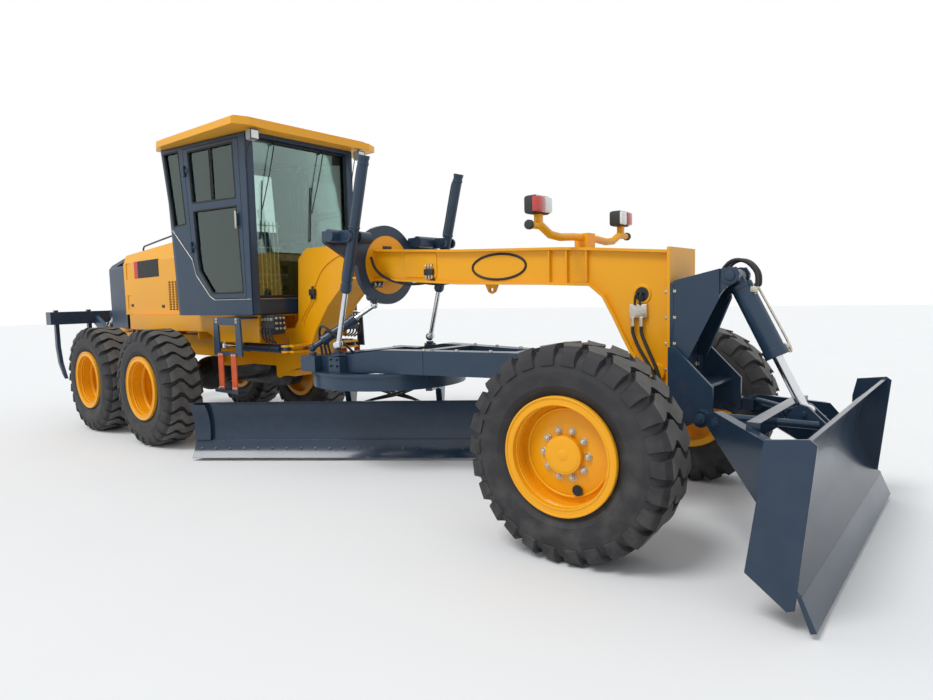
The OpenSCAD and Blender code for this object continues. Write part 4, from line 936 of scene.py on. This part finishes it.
    def tower(self) -> None:
        """Adds the valve and the thin pipes on the tower's right side, and thin dark sheets as
        painted shade in the disc's ports.
        """
        pipe, dark, grey = self.pieces(tower_pipes=AMBER, tower_valve=NIGHT, tower_fittings=ZINC)
        y = -0.204
        pipe.tube([(-3.02, y - 0.01, 2.10), (-3.20, y, 2.095), (-3.43, y, 2.01),
                   (-3.56, y, 1.91), (-3.645, y, 1.79), (-3.665, y, 1.745)], 0.008, 8)
        for lag in (0.0, 0.045):
            pipe.tube([(-3.675 - lag, y, 1.67), (-3.70 - lag, y, 1.60), (-3.785 - lag, y, 1.52),
                       (-3.86 - lag, y, 1.42), (-3.87 - lag, y, 1.36)], 0.007, 8)
        dark.block((-3.72, y - 0.035, 1.685), (-3.63, y + 0.004, 1.755), 0.008)
        for x, z in ((-3.70, 1.665), (-3.655, 1.665), (-3.675, 1.765)):
            dark.rod((x, y - 0.012, z - 0.02), (x, y - 0.012, z + 0.02), 0.014, 6)
        # Painted shade: two thin dark sheets stand in for the shaded insides of the disc's port
        # openings.
        for z, wide, tall, shift in ((1.775, 0.075, 0.030, -0.15), (2.135, 0.060, 0.022, 0.0)):
            dark.block((-2.7245, shift - wide, z - tall), (-2.7215, shift + wide, z + tall),
                       0.001)
        for shift in (-0.045, 0.0, 0.045):
            grey.tube([(-2.722, shift - 0.15, 1.755), (-2.695, shift - 0.15, 1.765),
                       (-2.69, shift * 1.3 - 0.15, 1.79)], 0.009, 8)

    def shape(self) -> None:
        """Shapes the front frame's trim."""
        self.badge()
        self.hoses()
        self.ports()
        self.mast()
        self.tower()


FLANK_X = 0.310
FLANK_Y = 0.730
FLARE = math.radians(7.1)
CUSHION_VOXEL = 0.009
CUSHION_PRESSURE = 4.0
CUSHION_FRAMES = 20
PANES = {
    "upper": ((0.205, 3.310), (-0.560, 3.310), (-0.520, 2.745), (0.222, 2.735)),
    "lower": ((0.230, 2.650), (-0.510, 2.655), (-0.478, 2.120), (-0.455, 1.990),
              (-0.250, 1.735), (0.270, 1.735)),
    "quarter": ((-0.735, 3.340), (-1.000, 3.340), (-0.885, 2.510), (-0.655, 2.530)),
}
STRIP = ((-0.905, 2.47), (-0.57, 2.12), (-0.515, 1.945), (-0.288, 1.702), (-0.212, 1.662),
         (0.395, 1.662))


def flank(x: float, out: float, z: float) -> Point:
    """Places a point on the cab's flared left side.

    Args:
        x: Place along the side, from the hitch.
        out: Distance outwards from the side's face.
        z: Height.

    Returns:
        The plain point.
    """
    along = x - FLANK_X
    cos, sin = math.cos(FLARE), math.sin(FLARE)
    return (FLANK_X + along * cos + out * sin, FLANK_Y - along * sin + out * cos, z)


class Cab(Group):
    """Seals, wipers, handles, lamps, valves and guard of the cab."""

    def seals(self) -> None:
        """Adds the black seals, the sliding panes' bars and the bright strips."""
        for side in Side:
            door = self.piece(f"{side.label}_door_seals", SEAL, f"{side.label}_door_body", side)
            fixed = self.piece(f"{side.label}_quarter_seal", SEAL, side=side)
            strip = self.piece(f"{side.label}_panel_strip", ZINC, side=side)
            for name, outline in PANES.items():
                holder = fixed if name == "quarter" else door
                holder.seal([flank(x, -0.006, z) for x, z in outline], 0.011)
            for x in (-0.19, -0.165):
                door.rod(flank(x, -0.014, 2.74), flank(x - 0.008, -0.014, 3.31), 0.007, 8)
            route = [flank(x, 0.004, z) for x, z in STRIP]
            for start, end in zip(route, route[1:]):
                strip.rod(start, end, 0.0045, 8)
            strip.rod((0.376, 0.690, 1.662), (0.376, 0.0, 1.662), 0.0045, 8)

    def windscreen(self) -> None:
        """Adds the windscreen's and rear window's seals, the wipers and the guard bars inside."""
        seal, wiper, guard = self.pieces(windscreen_seal=SEAL, wipers=SEAL, inside_guard=GUARD)
        seal.seal([(0.374, y, z) for y, z in (
            (-0.625, 1.69), (0.625, 1.69), (0.625, 3.34), (-0.625, 3.34))], 0.012)
        seal.seal([(-0.925, -0.56, 2.52), (-0.925, 0.56, 2.52), (-1.022, 0.56, 3.28),
                   (-1.022, -0.56, 3.28)], 0.012)
        top, tip = 3.33, 2.62
        for y0, y1 in ((-0.35, -0.52), (0.30, 0.12)):
            wiper.rod((0.372, y0, top), (0.405, y0, top), 0.016, 14)
            wiper.tube([(0.40, y0, top), (0.398, (y0 + y1) / 2, (top + tip) / 2),
                        (0.372, y1, tip)], 0.006, 8)
            wiper.rod((0.362, y1 - 0.03, tip - 0.32), (0.362, y1 + 0.02, tip + 0.30), 0.007, 8)
        for y in (-0.50, -0.448, -0.396, -0.344, -0.292):
            guard.rod((0.29, y, 1.62), (0.29, y, 2.50), 0.006, 8)
        for z in (1.68, 2.22, 2.46):
            guard.rod((0.29, -0.53, z), (0.29, -0.262, z), 0.006, 8)

    def handles(self) -> None:
        """Adds the door handles."""
        for side in Side:
            grip = self.piece(f"{side.label}_door_handle", ZINC, f"{side.label}_door_body", side)
            grip.rod(flank(0.246, 0.03, 2.41), flank(0.246, 0.03, 2.59), 0.012, 12, 0.003)
            for z in (2.43, 2.57):
                grip.rod(flank(0.246, 0.0, z), flank(0.246, 0.032, z), 0.010, 10)

    def lamps(self) -> None:
        """Adds the work lamps' lenses, rims, housings and cables."""
        made = self.pieces(work_lamp_lenses=CLEAR_LENS, work_lamp_rims=TRIM,
                           work_lamp_housings=PALE, work_lamp_cables=HOSE)
        lens, rim, shell, cable = made
        shell.stands_for = ("roof_lamps",)
        y, z = 0.71, 3.33
        for _ in both_sides(*made):
            lens.block((0.588, y - 0.042, z - 0.042), (0.597, y + 0.042, z + 0.042), 0.004)
            rim.seal([(0.590, y + a, z + b) for a, b in (
                (-0.046, -0.046), (0.046, -0.046), (0.046, 0.046), (-0.046, 0.046))], 0.005)
            shell.block((0.498, y - 0.052, z - 0.052), (0.588, y + 0.052, z + 0.052), 0.016)
            shell.rod((0.545, y, 3.37), (0.545, y, 3.399), 0.014, 12)
            cable.tube([(0.50, y - 0.02, 3.30), (0.44, y, 3.20), (0.405, y - 0.01, 3.00),
                        (0.40, y - 0.03, 2.86), (0.385, y - 0.01, 2.78)], 0.0055, 8)

    def valves(self) -> None:
        """Adds the valve blocks under the cab's front, their fittings and short hoses."""
        made = self.pieces(cab_valve_blocks=NIGHT, cab_valve_fittings=ZINC, cab_valve_hoses=HOSE)
        valve, fitting, hose = made
        for _ in both_sides(*made):
            valve.block((0.345, 0.44, 1.28), (0.575, 0.585, 1.49), 0.01)
            for y in (0.47, 0.515, 0.56):
                for z in (1.345, 1.40, 1.455):
                    fitting.rod((0.57, y, z), (0.60, y, z), 0.013, 6)
            for x in (0.385, 0.440, 0.495, 0.550):
                fitting.rod((x, 0.575, 1.44), (x, 0.605, 1.44), 0.016, 6)
                hose.tube([(x, 0.575, 1.34), (x, 0.615, 1.33), (x + 0.01, 0.60, 1.24),
                           (x - 0.02, 0.54, 1.19)], 0.010, 8)

    def shape(self) -> None:
        """Shapes the cab's pieces."""
        self.seals()
        self.windscreen()
        self.handles()
        self.lamps()
        self.valves()


class Seat(Group):
    """The driver's seat and its two cushions."""

    def pad(self, name: str, low: Point, high: Point, lean: float, cap: float) -> None:
        """Makes one cushion: a crowned closed form, swollen by a short cloth run.

        Args:
            name: Name of the cushion.
            low: Lowest corner before it swells.
            high: Highest corner before it swells.
            lean: Turn about Y, in degrees, round its lower edge.
            cap: How far a point may swell, in metres.
        """
        pad = self.piece(name, CLOTH)
        pad.block(low, high, 0.03)
        bmesh.ops.subdivide_edges(pad.bm, edges=pad.bm.edges, cuts=3, use_grid_fill=True)
        middle = (pad.at(low) + pad.at(high)) / 2
        bmesh.ops.rotate(pad.bm, verts=pad.bm.verts, cent=(middle.x, middle.y, low[2]),
                         matrix=Matrix.Rotation(math.radians(lean), 3, "Y"))
        cushion = pad.hang(angle=80)
        remesh = cushion.modifiers.new("even", "REMESH")
        remesh.mode = "VOXEL"
        remesh.voxel_size = CUSHION_VOXEL
        self.settle(cushion)
        rest = [vert.co.copy() for vert in cushion.data.vertices]
        cloth = cushion.modifiers.new("fill", "CLOTH")
        cloth.settings.use_pressure = True
        cloth.settings.uniform_pressure_force = CUSHION_PRESSURE
        cloth.settings.effector_weights.gravity = 0.0
        scene = bpy.context.scene
        cloth.point_cache.frame_start, cloth.point_cache.frame_end = 1, CUSHION_FRAMES
        for step in range(1, CUSHION_FRAMES + 1):
            scene.frame_set(step)
        self.settle(cushion)
        scene.frame_set(1)
        for vert, before in zip(cushion.data.vertices, rest):
            way = vert.co - before
            if way.length > cap:
                vert.co = before + way.normalized() * cap
        soft = cushion.modifiers.new("soft", "SUBSURF")
        soft.levels = soft.render_levels = 1
        cushion.data.shade_smooth()

    @staticmethod
    def settle(piece: bpy.types.Object) -> None:
        """Applies every modifier of a piece to its mesh.

        Args:
            piece: The piece.
        """
        graph = bpy.context.evaluated_depsgraph_get()
        mesh = bpy.data.meshes.new_from_object(piece.evaluated_get(graph))
        piece.modifiers.clear()
        piece.data = mesh

    def shape(self) -> None:
        """Shapes the seat in place of the plain one."""
        base = self.piece("seat_frame", TRIM)
        base.stands_for = ("driver_seat",)
        base.block((-0.53, -0.19, 1.555), (-0.19, 0.19, 1.60), 0.01)
        for z in (1.60, 1.64, 1.68, 1.72, 1.76):
            base.block((-0.50, -0.17, z), (-0.22, 0.17, z + 0.034), 0.012)
        base.block((-0.56, -0.22, 1.80), (-0.14, 0.22, 1.845), 0.015)
        for _ in both_sides(base):
            base.block((-0.52, 0.265, 2.05), (-0.20, 0.335, 2.10), 0.015)
            base.rod((-0.56, 0.27, 1.95), (-0.50, 0.29, 2.06), 0.018, 12)
        base.hang().data.shade_smooth()
        self.pad("seat_cushion", (-0.58, -0.24, 1.865), (-0.10, 0.24, 1.935), -3, 0.012)
        self.pad("seat_back", (-0.66, -0.22, 1.98), (-0.60, 0.22, 2.52), -8, 0.014)


class Hood(Group):
    """Blank badges, hand rails and latches of the hood."""

    half: float = 0.550

    def shape(self) -> None:
        """Shapes the badges with their red ends, the rails on the shoulders and the latches."""
        made = self.pieces(hood_badge_blank=SEAL, hood_badge_end=RED_ENAMEL, hood_rails=SLATE,
                           hood_latches=TRIM)
        dark, red, rail, latch = made
        slope, first = 0.012, -2.74
        y = self.half - 0.003
        for side in both_sides(*made):
            for badge, x0, x1 in ((red, first, -2.63), (dark, -2.63, -2.02)):
                badge.plate([(x, y, z + slope * (x - first)) for x, z in (
                    (x0, 1.985), (x1, 1.985), (x1, 2.215), (x0, 2.215))], 0.006, 0.0015)
            rail.tube([(-2.75, 0.40, 2.33), (-2.74, 0.40, 2.42), (-2.55, 0.40, 2.452),
                       (-1.55, 0.40, 2.55), (-1.30, 0.40, 2.55), (-1.25, 0.40, 2.44)], 0.012)
            for x, z in ((-2.86, 1.62), (-1.95, 1.60)):
                latch.block((x - 0.04, self.half - side.value * 0.003, z - 0.02),
                            (x + 0.04, self.half + side.value * 0.008, z + 0.02), 0.003)


class MainBlade(Group):
    """Bolts and end bits of the main blade and the hoses below the circle."""

    angle: float = math.radians(34.4)
    curve_r: float = 0.410
    curve_z: float = 0.320
    curve_t: float = 0.4388
    bolt_z: float = 0.115
    near: float = -2.0875
    far: float = 1.8775

    def point(self, s: float, t: float, z: float) -> Vector:
        """Places a point that is given along the blade, ahead of it and up."""
        cos, sin = math.cos(self.angle), math.sin(self.angle)
        return front(-2.740 + s * cos + t * sin, s * sin - t * cos, z)

    def edge(self) -> None:
        """Adds the bolt row on the cutting edge."""
        bolts = self.piece("cutting_edge_bolts", NIGHT, "blade_body")
        angle = math.asin((self.curve_z - self.bolt_z) / self.curve_r)
        foot = self.curve_t - self.curve_r * math.cos(angle)
        way = self.point(0, math.cos(angle), math.sin(angle)) - self.point(0, 0, 0)
        for index in range(26):
            s = self.near + 0.075 + index * (self.far - self.near - 0.15) / 25
            place = self.point(s, foot, self.bolt_z)
            bolts.rod(place - way * 0.001, place + way * 0.004, 0.017, 16, 0.001)

    def bits(self) -> None:
        """Adds the two curved end bits."""
        bits = self.piece("blade_end_bits", BLADE, "blade_body")
        rows = []
        for z in (0.205 + step * 0.048 for step in range(9)):
            reach = math.sqrt(self.curve_r ** 2 - (z - self.curve_z) ** 2)
            rows.append((self.curve_t - reach + 0.0205, z))
        for s0, s1 in ((self.near, self.near + 0.17), (self.far - 0.17, self.far)):
            left, right = ([bits.bm.verts.new(self.point(s, t, z)) for t, z in rows]
                           for s in (s0, s1))
            faces = [bits.bm.faces.new((left[k], left[k + 1], right[k + 1], right[k]))
                     for k in range(len(rows) - 1)]
            bits.extrude(faces, self.point(0, 0.008, 0) - self.point(0, 0, 0))
        bits.outward(bits.bm.verts)

    def hoses(self) -> None:
        """Adds the crossed hose runs between the circle and the blade carrier."""
        hose = self.piece("circle_hoses", HOSE, "circle_body")
        for lag in (-0.05, 0.05):
            for route in (((-0.40, -0.20, 0.78), (-0.28, -0.18, 0.72), (lag, -0.18, 0.64),
                           (0.25, -0.18, 0.56), (0.34, -0.18, 0.50)),
                          ((0.40, -0.20, 0.78), (0.28, -0.17, 0.72), (lag, -0.16, 0.63),
                           (-0.30, -0.17, 0.56), (-0.42, -0.17, 0.50))):
                hose.tube([self.point(*spot) for spot in route], 0.012)

    def shape(self) -> None:
        """Shapes the blade's pieces."""
        self.edge()
        self.bits()
        self.hoses()


class Dozer(Group):
    """Pins, bolts and hoses of the front blade and its mount."""

    body = FRONT_BODY
    origin = FRONT_X

    def bolts(self) -> None:
        """Adds the flange's bolts and the caps of the pins."""
        flange = self.piece("mount_bolts", ZINC)
        pins = self.piece("dozer_pin_caps", SLATE, "dozer_body")
        caps = self.piece("mount_pin_caps", SLATE)
        for _ in both_sides(flange, pins, caps):
            for x, way in ((0.316, 1), (0.270, -1)):
                flange.bolts([(x, 0.215, z) for z in (1.64, 1.46, 1.28, 1.10, 0.93)],
                             (way, 0, 0), 0.016, 0.014)
            for x, y, z in ((0.560, 0.391, 0.812), (0.690, 0.455, 0.812)):
                pins.rod((x, y - 0.002, z), (x, y + 0.016, z), 0.034, 24, 0.003)
                pins.rod((x, y + 0.015, z), (x, y + 0.026, z), 0.016, 6)
            caps.rod((0.655, 0.130, 1.735), (0.655, 0.146, 1.735), 0.034, 24, 0.003)

    def hoses(self) -> None:
        """Adds the cylinder's steel pipe and the two hose loops at its head."""
        pipe = self.piece("dozer_cylinder_pipes", ZINC, "dozer_barrel_body")
        hose = self.piece("dozer_hoses", HOSE, "dozer_barrel_body")
        top, eye = front(0.655, 0, 1.735), front(1.100, 0, 0.845)
        way = (eye - top).normalized()
        out = Vector((-way.z, 0, way.x))

        def spot(along: float, high: float, y: float) -> Vector:
            """Places a point along the cylinder, off its axis and sideways."""
            return top + way * along + out * high + Vector((0, y, 0))

        for y, length in ((0.03, 0.56), (-0.03, 0.14)):
            pipe.tube([spot(0.12, 0.085, y), spot(length, 0.092, y),
                       spot(length + 0.03, 0.06, y)], 0.008, 8)
            clip = spot(length, 0.07, y)
            half = Vector((0.02, 0.02, 0.02))
            pipe.block(clip - half, clip + half, 0.004)
        for y in (-0.035, 0.035):
            hose.tube([(0.40, y, 1.60), (0.50, y, 1.66), (0.62, y * 1.4, 1.82),
                       (0.72, y * 1.2, 1.83), (0.79, y, 1.76), (0.80, y, 1.68),
                       spot(0.12, 0.085, y)], 0.013)

    def shape(self) -> None:
        """Shapes the front blade's pieces."""
        self.bolts()
        self.hoses()


class Hydraulics(Group):
    """Glands, bands and pipes of the lift cylinders and trim of the drawbar."""

    body = "drawbar_body"
    origin = FRONT_X

    def lifts(self) -> None:
        """Adds glands, bands and side pipes on each lift cylinder."""
        for side in Side:
            body = f"{side.label}_lift_barrel_body"
            gland = self.piece(f"{side.label}_lift_glands", SLATE, body, side)
            pipe = self.piece(f"{side.label}_lift_pipes", SLATE, body, side)
            top, low = gland.at((-2.300, LIFT_Y, 2.890)), gland.at((BALL_X, LIFT_Y, 1.163))
            way = (low - top).normalized()
            out = gland.way(0, 1, 0).cross(way).normalized() * side.value
            for start, end, radius, sides, bevel in (
                    (1.205, 1.232, 0.044, 24, 0.003), (1.230, 1.240, 0.034, 24, 0.002),
                    (0.06, 0.082, 0.0515, 28, 0.002), (0.62, 0.642, 0.0515, 28, 0.002),
                    (1.10, 1.122, 0.0515, 28, 0.002)):
                gland.rod(top + way * start, top + way * end, radius, sides, bevel)
            for route in (((0.10, 0.045), (0.12, 0.068), (0.50, 0.068), (0.64, 0.068),
                           (0.66, 0.046)),
                          ((1.14, 0.045), (1.12, 0.068), (0.90, 0.068), (0.78, 0.068),
                           (0.76, 0.046))):
                pipe.tube([top + way * along + out * high for along, high in route], 0.009, 8)

    def joints(self) -> None:
        """Adds the ball joints' caps and bolts on the drawbar and the corner hoses."""
        caps, bolts, hose = self.pieces(drawbar_ball_caps=SLATE, drawbar_bolts=ZINC,
                                        drawbar_hoses=HOSE)
        for _ in both_sides(caps):
            caps.lathe([(0.041, 0.0), (0.062, 0.004), (0.066, 0.012), (0.064, 0.022),
                        (0.050, 0.030), (0.041, 0.031)], (BALL_X, LIFT_Y, 1.10), UP, 28)
            for a, b in circle(6, 0.054, 30):
                caps.rod((BALL_X + a, LIFT_Y + b, 1.120), (BALL_X + a, LIFT_Y + b, 1.138),
                         0.009, 6)
            for a, z in ((-0.045, 1.075), (0.045, 1.075), (-0.045, 1.015), (0.045, 1.015)):
                caps.rod((BALL_X + a, 0.690, z), (BALL_X + a, 0.712, z), 0.011, 6)
        for _ in both_sides(bolts):
            bolts.bolts([(-0.95 - 0.32 * index, 0.155 + 0.071 * index, 1.1656)
                         for index in range(4)], UP, 0.016, 0.012)
        for lag in (0.0, 0.05, 0.10):
            hose.tube([(-3.12, -0.45 - lag, 1.10), (-3.14, -0.46 - lag, 1.20 + lag),
                       (-3.02, -0.50 - lag, 1.28 + lag), (-2.86, -0.50, 1.22),
                       (-2.80, -0.40, 1.10)], 0.012)

    def shape(self) -> None:
        """Shapes the cylinders' and the drawbar's pieces."""
        self.lifts()
        self.joints()


class SideSteps(Group):
    """Bolts and tread plates of the steps on both sides."""

    def shape(self) -> None:
        """Shapes the steps' pieces."""
        bolts, treads = self.pieces(step_bolts=ZINC, step_treads=SLATE)
        for _ in both_sides(bolts, treads):
            bolts.bolts([(x, 0.862, z) for x in (-0.07, -0.02, 0.19, 0.24)
                         for z in (1.065, 0.712)], ACROSS, 0.010, 0.009)
            bolts.bolts([(x, 0.850, z) for x in (-0.11, 0.29) for z in (1.42, 1.45)],
                        ACROSS, 0.012, 0.010)
            for x in (-0.12 + 0.05 * index for index in range(9)):
                treads.block((x, 0.80, 0.6895), (x + 0.02, 0.885, 0.6945), 0.0015)


@dataclass
class Stage:
    """Floor, light, world and camera."""

    lens: float = 24.80
    place: Point = (2.0312 + FRONT_X, -4.5181, 1.6443)
    yaw: float = 0.6930
    pitch: float = -0.0843
    roll: float = -0.0239

    def camera(self) -> None:
        """Stands the camera where the photograph was taken from."""
        way = Vector((-math.sin(self.yaw) * math.cos(self.pitch),
                      math.cos(self.yaw) * math.cos(self.pitch), math.sin(self.pitch)))
        across = Vector((math.cos(self.yaw), math.sin(self.yaw), 0))
        upward = across.cross(way)
        right = across * math.cos(self.roll) + upward * math.sin(self.roll)
        top = upward * math.cos(self.roll) - across * math.sin(self.roll)
        data = bpy.data.cameras.new("view")
        data.lens = self.lens
        data.clip_end = 200
        holder = stand("view", data)
        holder.matrix_world = Matrix((
            (right.x, top.x, -way.x, self.place[0]), (right.y, top.y, -way.y, self.place[1]),
            (right.z, top.z, -way.z, self.place[2]), (0, 0, 0, 1)))
        bpy.context.scene.camera = holder

    def floor(self) -> None:
        """Lays a pale floor that the machine stands on."""
        bm = bmesh.new()
        bmesh.ops.create_grid(bm, x_segments=1, y_segments=1, size=60)
        bmesh.ops.translate(bm, vec=(0, 0, -0.001), verts=bm.verts)
        mesh = bpy.data.meshes.new("studio_floor")
        bm.to_mesh(mesh)
        bm.free()
        sheet = stand("studio_floor", mesh)
        material = bpy.data.materials.new("studio_floor")
        material.use_nodes = True
        graph = Graph(material.node_tree)
        shade = graph.fit(graph.noise(graph.place(), 0.7), (0.0, 1.0), FLOOR_SHADES)
        colour = graph.add("CombineColor", {"Red": shade, "Green": shade, "Blue": shade})["Color"]
        shader = graph.add("BsdfPrincipled", {"Base Color": colour, "Roughness": 0.85})["BSDF"]
        graph.add("OutputMaterial", {"Surface": shader})
        mesh.materials.append(material)

    def light(self) -> None:
        """Sets a soft sky, a white background and one large key light."""
        world = bpy.data.worlds.new("soft_sky")
        bpy.context.scene.world = world
        world.use_nodes = True
        graph = Graph(world.node_tree)
        sky = graph.add("Background", {"Color": SKY, "Strength": 0.72})
        seen = graph.add("Background", {"Color": WHITE, "Strength": 1.0})
        rays = graph.add("LightPath")
        direct = graph.reckon("MAXIMUM", rays["Is Camera Ray"], rays["Is Transmission Ray"])
        white = graph.reckon("MAXIMUM", direct, rays["Is Glossy Ray"])
        mix = graph.add("MixShader", {"Fac": white, 1: sky["Background"],
                                      2: seen["Background"]})["Shader"]
        graph.add("OutputWorld", {"Surface": mix})
        lamp = bpy.data.lights.new("key", "SUN")
        lamp.energy = 1.6
        lamp.angle = math.radians(24)
        aim = Vector(SUN_WAY).to_track_quat("-Z", "Y")
        stand("key", lamp).matrix_world = aim.to_matrix().to_4x4()

    def build(self) -> None:
        """Sets the stage."""
        bpy.context.scene.view_settings.view_transform = "Standard"
        self.floor()
        self.light()


def main() -> None:
    """Builds the camera, the finishes and every piece in order."""
    logging.basicConfig(level=logging.INFO, format="%(name)s %(message)s")
    stage = Stage()
    stage.camera()
    dress()
    for axle in ("front", "middle", "rear"):
        for side in Side:
            Wheel(axle, side).build()
    for group in (Gooseneck, Cab, Seat, Hood, MainBlade, Dozer, Hydraulics, SideSteps):
        group().build()
    stage.build()


if __name__ == "__main__":
    main()
